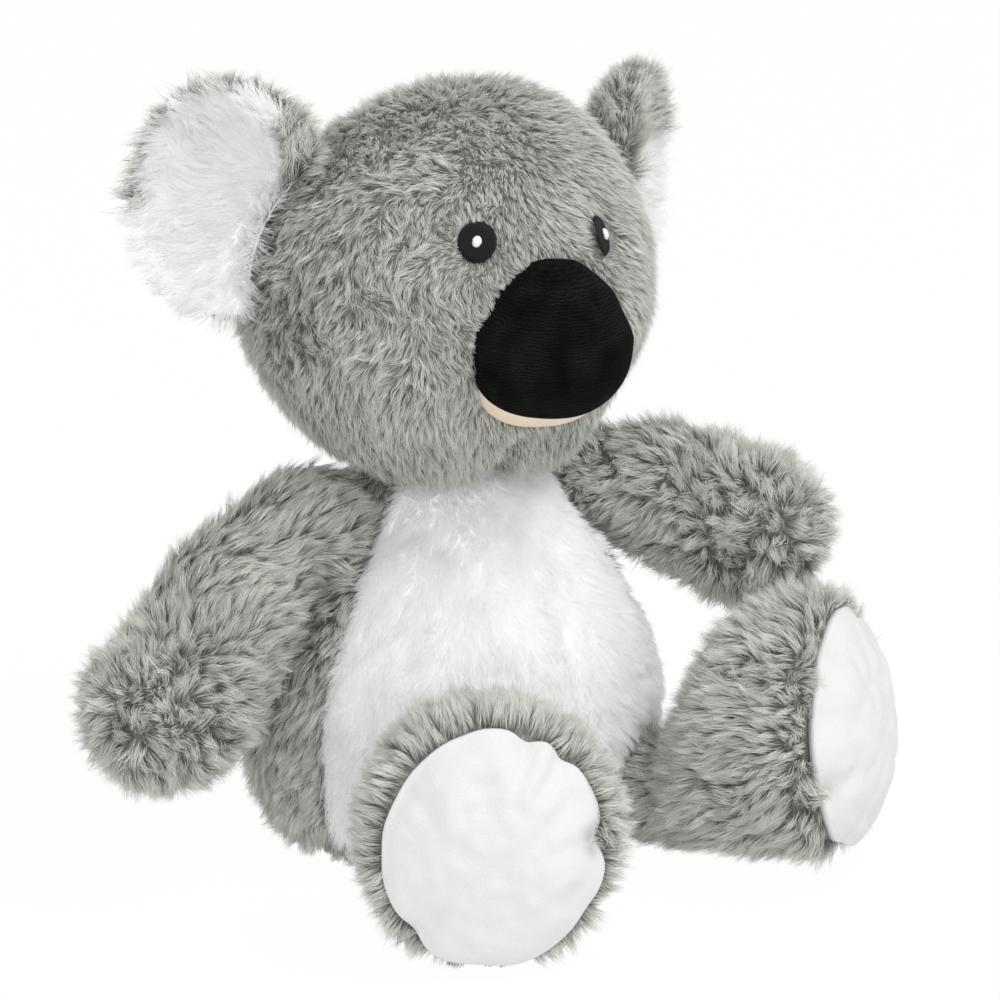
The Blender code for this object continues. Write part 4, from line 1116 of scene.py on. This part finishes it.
def nap_finish(name, colour):
    """The nose's short pile, which lies in fine level lines, with painted sheen that lightens their raised parts."""
    made, w, shader = finish(name, roughness=0.9, specular=0.03)
    place = w.out("ShaderNodeTexCoord", {}, "Object")
    bent = w.vector("ADD", place, w.scaled(w.drift(place, 320.0, 2.0), 0.0024))
    lines = w.out("ShaderNodeTexWave", {"Vector": bent, "Scale": NAP_LINES, "Distortion": 0.0}, "Fac",
                  bands_direction="Z")
    fibres = w.out("ShaderNodeTexNoise", {"Vector": place, "Scale": NAP_FIBRES, "Detail": 2.0}, "Fac")
    height = w.math("ADD", w.math("MULTIPLY", lines, 0.3), w.math("MULTIPLY", fibres, 0.7))
    broad = w.out("ShaderNodeTexNoise", {"Vector": place, "Scale": 90.0, "Detail": 1.0}, "Fac")
    # Colour lightened where the nap stands higher: painted sheen on its lines and fibres. The broad patches are a
    # random tone.
    fine = w.math("ADD", 0.5, w.math("MULTIPLY", w.math("MULTIPLY", height, height), 5.5))
    gain = w.math("MULTIPLY", fine, broad)
    toned = w.out("ShaderNodeVectorMath", {0: tuple(colour[:3]), "Scale": gain}, "Vector", operation="SCALE")
    w.tree.links.new(toned, shader.inputs["Base Color"])
    bump = w.out("ShaderNodeBump", {"Height": height, "Distance": 0.0004, "Strength": 0.8}, "Normal")
    w.tree.links.new(bump, shader.inputs["Normal"])
    made.diffuse_color = colour
    return made


def finishes():
    """The toy's finishes, made once."""
    if "grey_pile" in bpy.data.materials:
        return bpy.data.materials
    colours = bpy.context.scene.koala_colours
    pile_finish("grey_pile", colours.grey_root_painted_shade, colours.grey_tip, shade=0.45, patch=0.22, sheen=0.1,
                translucence=0.42)
    pile_finish("white_pile", colours.white_root, colours.white_tip, shade=0.02, patch=0.02, sheen=0.0,
                translucence=0.7)
    for name, colour, roughness, scale, mottle, relief, sheen, specular in (
        # The grey backing takes the roots' colour, and with it their painted shade.
        ("grey_backing", colours.grey_root_painted_shade, 0.95, 700.0, 0.4, 0.0005, 0.2, 0.2),
        ("white_backing", colours.white_root, 0.95, 700.0, 0.1, 0.0004, 0.2, 0.2),
        ("sole_velour", colours.sole, 0.85, 1500.0, 0.06, 0.00022, 0.25, 0.2),
        ("mouth_felt", colours.lip, 0.9, 1300.0, 0.25, 0.0004, 0.2, 0.2),
        ("eye_thread", colours.thread, 0.5, 1600.0, 0.3, 0.0001, 0.0, 0.22),
        ("glint_thread", colours.glint, 0.45, 1600.0, 0.1, 0.0001, 0.0, 0.4),
    ):
        cloth_finish(name, colour, roughness, scale, mottle, relief, sheen, specular)
    nap_finish("nose_nap", colours.nap)
    return bpy.data.materials


def pile_sizes(kind, cover, number, **changes):
    """What the pile of a piece is given, for grey, white, or lining cloth."""
    pile = bpy.context.scene.koala_pile
    grey = kind == "grey"
    length = {"grey": pile.grey_length, "white": pile.white_length, "lining": pile.lining_length}[kind]
    sizes = {
        "Cover": cover,
        "Strands": pile.grey_density if grey else pile.white_density,
        "Tufts": pile.clump_density if grey else pile.clump_density * 1.3,
        "Length": length,
        "Width": pile.strand_width,
        "Stand": 0.72 if grey else 0.5,
        "Spread": 0.42 if grey else 0.4,
        "Eddies": 2.6 if grey else 2.0,
        "Fineness": 1.0,
        "Pull": pile.clump_pull if grey else pile.clump_pull * 0.8,
        "Wave": length * 0.22,
        "Seed": pile.seed + number * 20,
    }
    return {**sizes, **changes}


# Pieces --------------------------------------------------------------------------------------------------------------


def egg_share(point, middle, half, grow):
    """Where a point of the head's frame is against an egg: below 0 inside, above 0 outside, roughly in metres."""
    offset = point - middle
    size = half + Vector((grow, grow, grow))
    scaled = Vector((offset.x / size.x, offset.y / size.y, offset.z / size.z))
    return (scaled.length - 1) * size.x


def dress(name, skin, body, kind, cover, number, **changes):
    """Grows a piece's grey, white, or lining pile."""
    colour = "grey" if kind == "grey" else "white"
    grow_pile(name, skin, body, f"{colour}_plush", finishes()[f"{colour}_pile"],
              **pile_sizes(kind, cover, number, **changes))


def padded_skin(name, rows, finish_name, body, slot, nodes):
    """Makes a closed skin that rides on the body and stands for the nodes."""
    skin = add_object(name, skin_mesh(name, rows), finishes()[finish_name])
    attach(skin, body)
    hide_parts(*nodes)
    return skin


class KOALA_OT_head(bpy.types.Operator):
    """Makes the head's skin and its grey pile in four sewn panels, with the neck's wad of filling"""

    bl_idname = "koala.head"
    bl_label = "Head"

    def execute(self, context):
        skin = padded_skin("head_skin", head_rows(HEAD_INSET), "grey_backing", "head", "grey_plush",
                           ("head_cover", "head_filling"))

        def by_left_eye(spot):
            """How near a point of the head is to where its pile leans over the left eye."""
            return bell((spot - EYE_SPOTS["l"] + LEFTWARD * EYE_TUFT_PLACE).length, EYE_TUFT_WIDTH)

        def nap_at(point, normal):
            spot = HEAD_PLACE_BACK @ point
            behind = ease(0.0, 0.05, spot.y)
            flow = FORWARD * (0.55 - 0.9 * behind) - UP
            for side in (-1, 1):
                ear = spot - Vector((side * EAR_HINGE.x, EAR_HINGE.y, EAR_HINGE.z - 0.012))
                flow += LEFTWARD * side * 1.8 * bell(ear.length, 0.034)
            flow += LEFTWARD * 0.8 * ease(-0.015, 0.03, spot.x) * ease(-0.03, 0.0, spot.z) * (1 - behind)
            flow = flow.normalized()
            beside_nose = ease(0.008, 0.0, egg_share(spot, NOSE_MIDDLE, NOSE_HALF, 0.0)) * ease(-0.016, 0.0, spot.z)
            flow = flow * (1 - beside_nose) + (NOSE_MIDDLE - spot).normalized() * beside_nose
            beside_eye = by_left_eye(spot)
            flow = flow * (1 - beside_eye) + LEFTWARD * beside_eye
            return swirled(HEAD_PLACE.to_3x3() @ flow, normal, point, 0.020, 0.3 + 1.8 * ruffle_at(point))

        def ruffle_at(point):
            """Smooth from the forehead to the left cheek and on the chin, and ruffled on the rest."""
            spot = HEAD_PLACE_BACK @ point
            crown = ease(0.045, 0.062, spot.z) * ease(0.02, -0.01, spot.x)
            side = ease(-0.008, -0.028, spot.x) * ease(-0.040, -0.022, spot.z)
            return 0.25 + 0.75 * min(1.0, crown + side + ease(0.01, 0.03, spot.y))

        def length_at(point, normal):
            spot = HEAD_PLACE_BACK @ point
            nose = ease(0.0, 0.020, egg_share(spot, NOSE_MIDDLE, NOSE_HALF, 0.0))
            eyes = min(ease(0.005, 0.017, (spot - eye).length) for eye in EYE_SPOTS.values())
            eyes = max(eyes, by_left_eye(spot))
            crease = bell(spot.x, 0.006) * ease(0.036, 0.046, -spot.z) * (spot.y < 0)
            socket = ease(0.001, 0.012, (point - NECK_PIVOT).length - NECK_RADIUS)
            cheek = bell((spot.normalized() - Vector(LEFT_CHEEK)).length, 0.4)
            pinched = (1 - 0.3 * cheek) * (1 - 0.55 * crease)
            return (0.8 + 0.2 * nose) * (0.5 + 0.5 * eyes) * (0.6 + 0.4 * socket) * pinched

        def cover(panel):
            def cover_at(point, normal):
                spot = HEAD_PLACE_BACK @ point
                if (point - NECK_PIVOT).length < NECK_RADIUS + NECK_COVER:
                    return 0.0
                under = 0.0012 + 0.0016 * ease(-0.010, 0.004, spot.z)
                under += NOSE_LEAN_SHARE * NOSE_HALF.x * ease(-0.004, -0.016, (spot - NOSE_MIDDLE).x)
                if egg_share(spot, NOSE_MIDDLE, NOSE_HALF, 0.0) < -under or egg_share(
                    spot, LIP_MIDDLE, NOSE_HALF, -LIP_INSET
                ) < 0:
                    return 0.0
                for key, eye in EYE_SPOTS.items():
                    bare = eye * 0.95 + LEFTWARD * EYE_OVERHANG[key]
                    if (spot - bare).length < EYE_HALF_HEIGHT - 0.0004:
                        return 0.0
                return 1.0 if (spot.x > 0) + 2 * (spot.y > 0) == panel else 0.0
            return cover_at

        covers = {f"cover_{number}": cover(number) for number in range(4)}
        mark(skin.data, nap_at, length_at, covers, ruffle_at)
        panels = ("face_right", "face_left", "back_right", "back_left")
        for number, panel in enumerate(panels):
            dress(f"head_pile_{panel}", skin, "head", "grey", f"cover_{number}", number, **FINE_PILE)
        padded_skin("neck_wad", wad_rows(), "white_backing", "neck", "fibre_filling", ("neck_filling",))
        return {"FINISHED"}


class KOALA_OT_nose(bpy.types.Operator):
    """Makes the napped nose and the felt mouth below it"""

    bl_idname = "koala.nose"
    bl_label = "Nose and Mouth"

    def execute(self, context):
        for name, node, middle, grow, finish_name, slot, height in (
            ("nose_dome", "nose", NOSE_MIDDLE, -0.0002, "nose_nap", "black_short_pile", 0.0005),
            ("mouth_lip", "mouth", LIP_MIDDLE, -LIP_INSET, "mouth_felt", "peach_felt", 0.0002),
        ):
            rows = egg_rows(middle, NOSE_HALF, grow)
            for row in rows:
                for k, point in enumerate(row):
                    outward = (point - middle).normalized()
                    lift = lumps(point, 0.016, height)
                    if node == "mouth":
                        lift -= LIP_TUCK * ease(-0.0245, -0.0185, point.z)
                    row[k] = HEAD_PLACE @ (point + outward * lift)
            padded_skin(name, rows, finish_name, "head", slot, (node,))
        return {"FINISHED"}


def stitch_patch(name, middle, outward, half_width, half_height, thread, slant, finish_name, node):
    """Makes an oval of threads laid side by side over a low mound of padding."""
    across = UP.cross(outward).normalized()
    rise = outward.cross(across).normalized()
    along = (across * cos(slant) + rise * sin(slant)).normalized()
    beside = outward.cross(along).normalized()
    bm = bmesh.new()
    count = int(2 * max(half_width, half_height) / thread)
    sides, steps = 5, 12
    for i in range(count):
        place = beside * ((i + 0.5) / count * 2 - 1) * max(half_width, half_height)
        u, v = place.dot(across) / half_width, place.dot(rise) / half_height
        a = along.dot(across) / half_width
        b = along.dot(rise) / half_height
        square = (u * a + v * b) ** 2 - (a * a + b * b) * (u * u + v * v - 1)
        if square <= 0:
            continue
        root = sqrt(square)
        start, stop = ((-(u * a + v * b) + sign * root) / (a * a + b * b) for sign in (-1, 1))
        jitter = noise.noise(Vector((i * 0.7, slant, half_width * 900))) * thread * 1.8
        start, stop = start - jitter, stop + jitter * 0.5
        if stop - start < thread:
            continue
        rows = []
        for k in range(steps + 1):
            share = k / steps
            run = start + (stop - start) * share
            spot = place + along * run
            wide, high = spot.dot(across) / half_width, spot.dot(rise) / half_height
            level = max(0.0, 1 - wide**2 * 0.9 - high**2 * 0.9)
            height = EYE_THICKNESS * (0.25 + 0.75 * sqrt(level)) - thread * 0.5
            dip = -thread * 1.6 * (1 - ease(0.0, 0.10, share) * ease(1.0, 0.90, share))
            centre = middle + spot + outward * (height + dip)
            ring = []
            for side in range(sides):
                turn = 2 * pi * side / sides
                lift = outward * sin(turn) * thread * 0.5
                ring.append(bm.verts.new(centre + beside * cos(turn) * thread * 0.56 + lift))
            rows.append(ring)
        for low, high in zip(rows, rows[1:]):
            for side in range(sides):
                j = (side + 1) % sides
                bm.faces.new((low[side], low[j], high[j], high[side]))
        bm.faces.new(rows[0])
        bm.faces.new(rows[-1])
    bmesh.ops.recalc_face_normals(bm, faces=bm.faces)
    bm.transform(HEAD_PLACE)
    mesh = bpy.data.meshes.new(name)
    bm.to_mesh(mesh)
    bm.free()
    mesh.shade_smooth()
    patch = add_object(name, mesh, finishes()[finish_name])
    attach(patch, "head")
    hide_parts(node)


class KOALA_OT_eyes(bpy.types.Operator):
    """Makes the satin-stitched eyes with their white highlights"""

    bl_idname = "koala.eyes"
    bl_label = "Eyes"

    def execute(self, context):
        for key, spot in EYE_SPOTS.items():
            outward = spot.normalized()
            seat = spot - outward * (EYE_HOLLOW_DEPTH + EYE_SINK)
            outward = Matrix.Rotation(EYE_TILT[key], 3, "Z") @ outward
            stitch_patch(f"eye_{key}_stitches", seat, outward, EYE_HALF_WIDTH, EYE_HALF_HEIGHT, EYE_THREAD,
                         radians(65), "eye_thread", f"eye_{key}")
            top = seat + outward * EYE_THICKNESS * 0.75
            stitch_patch(f"eye_{key}_glint_stitches", top, outward, GLINT_RADIUS * 0.85, GLINT_RADIUS * 0.95,
                         GLINT_THREAD, radians(-20), "glint_thread", f"eye_glint_{key}")
        return {"FINISHED"}


class KOALA_OT_ears(bpy.types.Operator):
    """Makes the two ears: a grey back with a rolled rim, and a white fluffy lining"""

    bl_idname = "koala.ears"
    bl_label = "Ears"

    def execute(self, context):
        for number, key in enumerate("rl"):
            side = -1 if key == "r" else 1
            place = ear_place(key)
            place_back = place.inverted()
            turn = place.to_3x3()
            turn_back = turn.inverted()
            back = padded_skin(
                f"ear_{key}_back_skin",
                ear_rows(key, 1.0, EAR_INSET, lambda share: ear_cup(share) - 0.0015,
                         lambda share: ear_back(share, EAR_INSET), EAR_RIM_RADIUS / 2),
                "grey_backing", f"ear_{key}", "grey_plush", (f"ear_back_{key}",),
            )

            def share_of(point):
                spot = place_back @ point
                across = (spot.x - EAR_HALF_WIDTH + EAR_TUCK) / EAR_HALF_WIDTH
                return spot, sqrt(across**2 + (spot.y / EAR_HALF_HEIGHT) ** 2)

            def facing_front(normal):
                return side * (turn_back @ normal).z

            def tufted(point):
                """Whether the grey of the ear's back folds over the lining here, at the top beside the head."""
                spot, _ = share_of(point)
                edge = EAR_FOLD_EDGE + EAR_FOLD_SLOPE * spot.y + 0.0015 * noise.noise(spot / 0.004)
                return spot.x < edge and spot.y > EAR_FOLD_FOOT

            def rimmed(point):
                """Whether the front is grey here, along the upper rim."""
                spot, share = share_of(point)
                ragged = noise.noise(spot / 0.005)
                if key == "l":
                    return spot.y + 0.003 * ragged > EAR_GREY_TOP + EAR_GREY_SLOPE * spot.x
                return share > EAR_GREY_RIM + 0.05 * ease(0.02, 0.0, spot.x) + 0.07 * ragged and spot.y > EAR_RIM_FOOT

            def grey_front(point):
                return tufted(point) or rimmed(point)

            def low_rim(spot):
                """Whether a point is on the ear's lower half, where the back's pile is combed behind the lining."""
                return ease(0.004, -0.010, spot.y - (0.012 if key == "l" else 0.0))

            def low_front(spot, normal):
                return low_rim(spot) * ease(-0.7, -0.2, facing_front(normal))

            def back_nap(point, normal):
                spot, _ = share_of(point)
                if tufted(point):
                    return turn @ Vector((-0.5, 0.75, 0.0))
                behind = -side * (0.004 + 0.12 * low_front(spot, normal))
                flow = turn @ Vector((spot.x + 0.006, spot.y, behind))
                return swirled(flow, normal, point, 0.022, 0.8, 30.0 + number)

            def back_cover(point, normal):
                spot, _ = share_of(point)
                front = facing_front(normal)
                if front > 0.1 and grey_front(point):
                    return 1.0
                low = low_rim(spot)
                return ease(0.35 - 0.15 * low, -0.1 * low, front)

            def back_length(point, normal):
                spot, _ = share_of(point)
                return (0.75 + 0.45 * ease(0.012, -0.012, spot.x)) * (1 - 0.35 * low_front(spot, normal))

            mark(back.data, back_nap, back_length, {"cover_0": back_cover})
            dress(f"ear_{key}_back_pile", back, f"ear_{key}", "grey", "cover_0", 30 + number, **FINE_PILE)
            lining = padded_skin(
                f"ear_{key}_lining_skin",
                ear_rows(key, EAR_LINING_SHARE, 0.001, lambda share: ear_cup(share) - 0.0005,
                         lambda share: ear_cup(share) - 0.0013, 0.0),
                "white_backing", f"ear_{key}", "white_plush", (f"ear_lining_{key}",),
            )

            def lining_nap(point, normal):
                spot, _ = share_of(point)
                if tufted(point):
                    return turn @ Vector((-0.45, 0.8, 0.0))
                flow = turn @ Vector((spot.x + 0.014, spot.y * 0.9, 0.0)).normalized()
                to_head = ease(-0.011, -0.003, head_depth(HEAD_PLACE_BACK @ point))
                flow = flow * (1 - to_head) + turn @ Vector((-0.9, -0.2, 0.0)) * to_head
                return swirled(flow, normal, point, 0.018, 1.3 * (1 - to_head), 40.0 + number)

            def white_cover(point, normal):
                return 1.0 if facing_front(normal) > 0.0 and not grey_front(point) else 0.0

            def grey_cover(point, normal):
                return 1.0 if facing_front(normal) > 0.0 and grey_front(point) else 0.0

            def lining_length(point, normal):
                return 0.6 if rimmed(point) and not tufted(point) else 1.0

            mark(lining.data, lining_nap, lining_length, {"cover_0": white_cover, "cover_1": grey_cover})
            dress(f"ear_{key}_lining_pile", lining, f"ear_{key}", "lining", "cover_0", 34 + number)
            dress(f"ear_{key}_fold_pile", lining, f"ear_{key}", "grey", "cover_1", 38 + number, **FOLD_PILE)
            lining.data.materials.append(finishes()["grey_backing"])
            for face in lining.data.polygons:
                face.material_index = int(tufted(face.center))
        return {"FINISHED"}


def hidden_by_joint(point):
    """Whether a point of the torso lies under the root of a limb or under the head."""
    if any((point - centre).length < ball - GREY_INSET + ROOT_COVER for centre, ball in LIMB_ROOTS):
        return True
    return (point - NECK_PIVOT).normalized().z > cos(NECK_SEAM_ANGLE * 1.1) and point.z > NECK_PIVOT.z


class KOALA_OT_torso(bpy.types.Operator):
    """Makes the torso's skin, its grey pile in two sewn panels, and the white belly panel's pile"""

    bl_idname = "koala.torso"
    bl_label = "Torso"

    def execute(self, context):
        skin = padded_skin("torso_skin", torso_rows(GREY_INSET), "grey_backing", "torso", "grey_plush",
                           ("torso_cover", "torso_filling", "seat_bean_bag"))

        def in_panel(point, margin=0.0):
            turn = abs(Vector((point.x, -point.y)).angle_signed(Vector((0.0, 1.0)), 0.0))
            reach = max(Vector((point.x, point.y)).length, 1e-4)
            return turn * reach < PANEL_HALF_ANGLE * reach + margin and point.z > PANEL_HEM_HEIGHT - margin

        def nap_at(point, normal):
            down = Vector((0.0, 0.0, -1.0)) + Vector((point.x, point.y, 0.0)) * 4
            if in_panel(point):
                down = Vector((0.0, 0.0, -1.0)) + Vector((point.x, point.y * 0.2, 0.0)) * 9
                return swirled(down, normal, point, 0.026, 0.9, 50.0)
            return swirled(down, normal, point, 0.030, 1.1, 52.0)

        def length_at(point, normal):
            neck = ease(0.0, 0.02, (point - HEAD_PLACE.translation).length - HEAD_RADIUS)
            return 0.7 + 0.3 * neck

        def grey_cover(side):
            def cover_at(point, normal):
                if in_panel(point) or hidden_by_joint(point):
                    return 0.0
                seen = 0.35 + 0.65 * ease(-0.98, -0.8, normal.z)
                return seen if (point.x > 0) == (side > 0) else 0.0
            return cover_at

        def white_cover(point, normal):
            return 1.0 if in_panel(point) and not hidden_by_joint(point) else 0.0

        mark(skin.data, nap_at, length_at,
             {"cover_0": grey_cover(-1), "cover_1": grey_cover(1), "cover_2": white_cover})
        belly = skin.data.copy()
        belly.name = "belly_panel_skin"
        for mesh, keep_panel in ((skin.data, False), (belly, True)):
            bm = bmesh.new()
            bm.from_mesh(mesh)
            faces = [f for f in bm.faces if in_panel(f.calc_center_median()) != keep_panel]
            bmesh.ops.delete(bm, geom=faces, context="FACES")
            bm.to_mesh(mesh)
            bm.free()
        belly.materials.clear()
        panel = add_object("belly_panel_skin", belly, finishes()["white_backing"])
        for obj in (skin, panel):
            hem = obj.modifiers.new("cloth", "SOLIDIFY")
            hem.thickness = HEM_THICKNESS
            hem.offset = -1.0
        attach(panel, "torso")
        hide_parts("belly_panel")
        grow = ((skin, "torso_pile_right", "grey", "cover_0"), (skin, "torso_pile_left", "grey", "cover_1"),
                (panel, "belly_pile", "white", "cover_2"))
        for number, (base, name, kind, cover) in enumerate(grow):
            bare = add_object(name + "_ground", base.data.copy())
            dress(name, bare, "torso", kind, cover, 50 + number)
            bpy.data.objects.remove(bare, do_unlink=True)
        return {"FINISHED"}


class KOALA_OT_arms(bpy.types.Operator):
    """Makes the two arms, whose nap runs from a whorl on the paw up to the shoulder"""

    bl_idname = "koala.arms"
    bl_label = "Arms"

    def execute(self, context):
        for number, key in enumerate("rl"):
            curve = arm_curve(key)
            samples = [(bezier(curve, i / 30), bezier_slope(curve, i / 30).normalized()) for i in range(31)]
            paw, heading = samples[-1]
            pole = paw + (heading + Vector(WHORLS[key]) * 0.9).normalized() * PAW_RADIUS

            def nap_at(point, normal):
                _, along = min(samples, key=lambda sample: (sample[0] - point).length_squared)
                from_pole = point - pole
                share = ease(PAW_RADIUS * 0.9, PAW_RADIUS * 2.4, from_pole.length)
                flow = from_pole.normalized() * (1 - share) + (Vector(ARM_SWEEPS[key]) - along * 0.6) * share
                return swirled(flow * (0.2 + 0.8 * share), normal, point, 0.018, 1.2, 60.0 + number)

            def cover_at(point, normal):
                return 0.0 if Vector((point.x, point.y)).length < 0.036 and point.z > 0.1 else 1.0

            skin = padded_skin(f"arm_{key}_skin", arm_rows(key, GREY_INSET), "grey_backing",
                               f"arm_{key}", "grey_plush", (f"arm_cover_{key}", f"arm_filling_{key}"))
            mark(skin.data, nap_at, lambda point, normal: 1.0, {"cover_0": cover_at})
            dress(f"arm_{key}_pile", skin, f"arm_{key}", "grey", "cover_0", 60 + number)
        return {"FINISHED"}


class KOALA_OT_legs(bpy.types.Operator):
    """Makes the two legs with their smooth white soles"""

    bl_idname = "koala.legs"
    bl_label = "Legs"

    def execute(self, context):
        for number, key in enumerate("rl"):
            place = leg_place(key)
            place_back = place.inverted()
            turn = place.to_3x3()
            middle = floor_standing(FOOT_HALF_HEIGHT) - SOLE_DROP
            pole = FORWARD * (SOLE_DISTANCE + 0.012) + UP * middle

            def nap_at(point, normal):
                spot = place_back @ point
                front = ease(SOLE_DISTANCE - 0.012, SOLE_DISTANCE + 0.002, -spot.y)
                around = atan2(spot.z - middle, spot.x)
                over = max(bell(wrapped(around - radians(angle)), radians(RIM_TUFT_WIDTH)) for angle in RIM_TUFTS[key])
                flow = turn @ ((spot - pole).normalized() * (1 - over) - FORWARD * (0.35 - (0.75 + over) * front))
                return swirled(flow, normal, point, 0.022, 0.9 - 0.5 * front, 70.0 + number)

            def cover_at(point, normal):
                spot = place_back @ point
                across = Vector((spot.x / SOLE_HALF_WIDTH, (spot.z - middle) / SOLE_HALF_HEIGHT))
                outline, pucker = sole_edge(key, atan2(across.y, across.x))
                if -spot.y > SOLE_DISTANCE - 0.008 and across.length < outline - 0.05 + pucker * 0.6:
                    return 0.0
                if Vector((point.x, point.y)).length < HIP_RADIUS - 0.011:
                    return 0.0
                return 1.0

            skin = padded_skin(f"leg_{key}_skin", leg_rows(key, GREY_INSET), "grey_backing",
                               f"leg_{key}", "grey_plush", (f"leg_cover_{key}", f"leg_filling_{key}"))
            mark(skin.data, nap_at, lambda point, normal: 1.0, {"cover_0": cover_at})
            dress(f"leg_{key}_pile", skin, f"leg_{key}", "grey", "cover_0", 70 + number, Eddies=1.8)
            padded_skin(f"leg_{key}_sole", sole_rows(key), "sole_velour", f"leg_{key}",
                        "white_short_pile", (f"foot_sole_{key}",))
        return {"FINISHED"}


# Stage ---------------------------------------------------------------------------------------------------------------


def seen_directly(w):
    """1 for the rays with which the camera, reflections and clear things see, and 0 for the rest."""
    path = w.add("ShaderNodeLightPath").outputs
    return w.math("MAXIMUM", path["Is Camera Ray"],
                  w.math("MAXIMUM", path["Is Glossy Ray"], path["Is Transmission Ray"]))


def seen_white(w, lit, factor):
    """A shader that the camera and reflections see partly as plain white, over how it is lit."""
    seen = seen_directly(w)
    white = w.out("ShaderNodeEmission", {"Color": (1, 1, 1, 1), "Strength": 1.0})
    return w.out("ShaderNodeMixShader", {0: w.math("MULTIPLY", seen, factor), 1: lit, 2: white})


class KOALA_OT_studio(bpy.types.Operator):
    """Makes the pale floor, the soft lights, and the camera at the photograph's angle"""

    bl_idname = "koala.studio"
    bl_label = "Stage"

    def execute(self, context):
        scene, studio = context.scene, context.scene.koala_studio
        bm = bmesh.new()
        bmesh.ops.create_grid(bm, x_segments=2, y_segments=2, size=6.0)
        mesh = bpy.data.meshes.new("floor")
        bm.to_mesh(mesh)
        bm.free()
        paper = bpy.data.materials.new("floor_paper")
        paper.use_nodes = True
        w = Wiring(paper.node_tree)
        shader = paper.node_tree.nodes["Principled BSDF"]
        shader.inputs["Base Color"].default_value = FLOOR_COLOUR
        shader.inputs["Roughness"].default_value = 0.9
        mixed = seen_white(w, shader.outputs["BSDF"], FLOOR_WHITE_SHARE)
        paper.node_tree.links.new(mixed, paper.node_tree.nodes["Material Output"].inputs["Surface"])
        floor = add_object("floor", mesh, paper)

        world = bpy.data.worlds.new("studio")
        scene.world = world
        world.use_nodes = True
        w = Wiring(world.node_tree)
        background = world.node_tree.nodes["Background"]
        strength = w.out("ShaderNodeMix", {"Factor": seen_directly(w), "A": studio.world_light, "B": 1.0},
                         "Result", data_type="FLOAT")
        background.inputs["Color"].default_value = (1, 1, 1, 1)
        world.node_tree.links.new(strength, background.inputs["Strength"])

        a, e = studio.azimuth, studio.elevation
        right = Vector((cos(a), sin(a), 0.0))
        level = Vector((sin(a), -cos(a), 0.0))
        back = level * cos(e) + UP * sin(e)
        up = back.cross(right)
        target = right * VIEW_SHIFT[0] + up * VIEW_SHIFT[1]
        camera = bpy.data.cameras.new("camera")
        camera.lens = studio.lens
        camera.sensor_width = SENSOR_WIDTH
        seat = bpy.data.objects.new("camera", camera)
        scene.collection.objects.link(seat)
        view = Matrix((right, up, back)).transposed().to_4x4()
        view.translation = target + back * studio.distance
        seat.matrix_world = view
        scene.camera = seat

        for name, power, size, (aside, ahead, above) in (
            ("key_light", studio.key_power, KEY_SIZE, KEY_PLACE),
            ("fill_light", studio.fill_power, FILL_SIZE, FILL_PLACE),
        ):
            lamp = bpy.data.lights.new(name, "AREA")
            lamp.energy = power
            lamp.shape = "DISK"
            lamp.size = size
            holder = bpy.data.objects.new(name, lamp)
            scene.collection.objects.link(holder)
            holder.location = right * aside + level * ahead + UP * above
            away = holder.location - UP * LAMP_AIM_HEIGHT
            holder.rotation_euler = away.to_track_quat("Z", "Y").to_euler()
        scene.view_settings.view_transform = "Standard"
        return {"FINISHED"}


class KOALA_PT_panel(bpy.types.Panel):
    """Lists the koala's pieces and sizes"""

    bl_idname = "KOALA_PT_panel"
    bl_label = "Plush Koala"
    bl_space_type = "VIEW_3D"
    bl_region_type = "UI"
    bl_category = "Plush Koala"

    def draw(self, context):
        column = self.layout.column(align=True)
        for operator in OPERATORS:
            column.operator(operator.bl_idname)
        for name in ("koala_pile", "koala_colours", "koala_studio"):
            box = self.layout.box().column(align=True)
            group_of_sizes = getattr(context.scene, name)
            for key in group_of_sizes.__annotations__:
                box.prop(group_of_sizes, key)


OPERATORS = (
    KOALA_OT_head,
    KOALA_OT_nose,
    KOALA_OT_eyes,
    KOALA_OT_ears,
    KOALA_OT_torso,
    KOALA_OT_arms,
    KOALA_OT_legs,
    KOALA_OT_studio,
)
GROUPS = (("koala_pile", KoalaPile), ("koala_colours", KoalaColours), ("koala_studio", KoalaStudio))


def register():
    for kind in (*(group_class for _, group_class in GROUPS), *OPERATORS, KOALA_PT_panel):
        bpy.utils.register_class(kind)
    for name, kind in GROUPS:
        setattr(bpy.types.Scene, name, PointerProperty(type=kind))


def unregister():
    for name, _ in GROUPS:
        delattr(bpy.types.Scene, name)
    for kind in (KOALA_PT_panel, *reversed(OPERATORS), *(group_class for _, group_class in reversed(GROUPS))):
        bpy.utils.unregister_class(kind)


def main():
    register()
    for operator in OPERATORS:
        space, name = operator.bl_idname.split(".")
        getattr(getattr(bpy.ops, space), name)()
    bpy.context.view_layer.update()


if __name__ == "__main__":
    main()
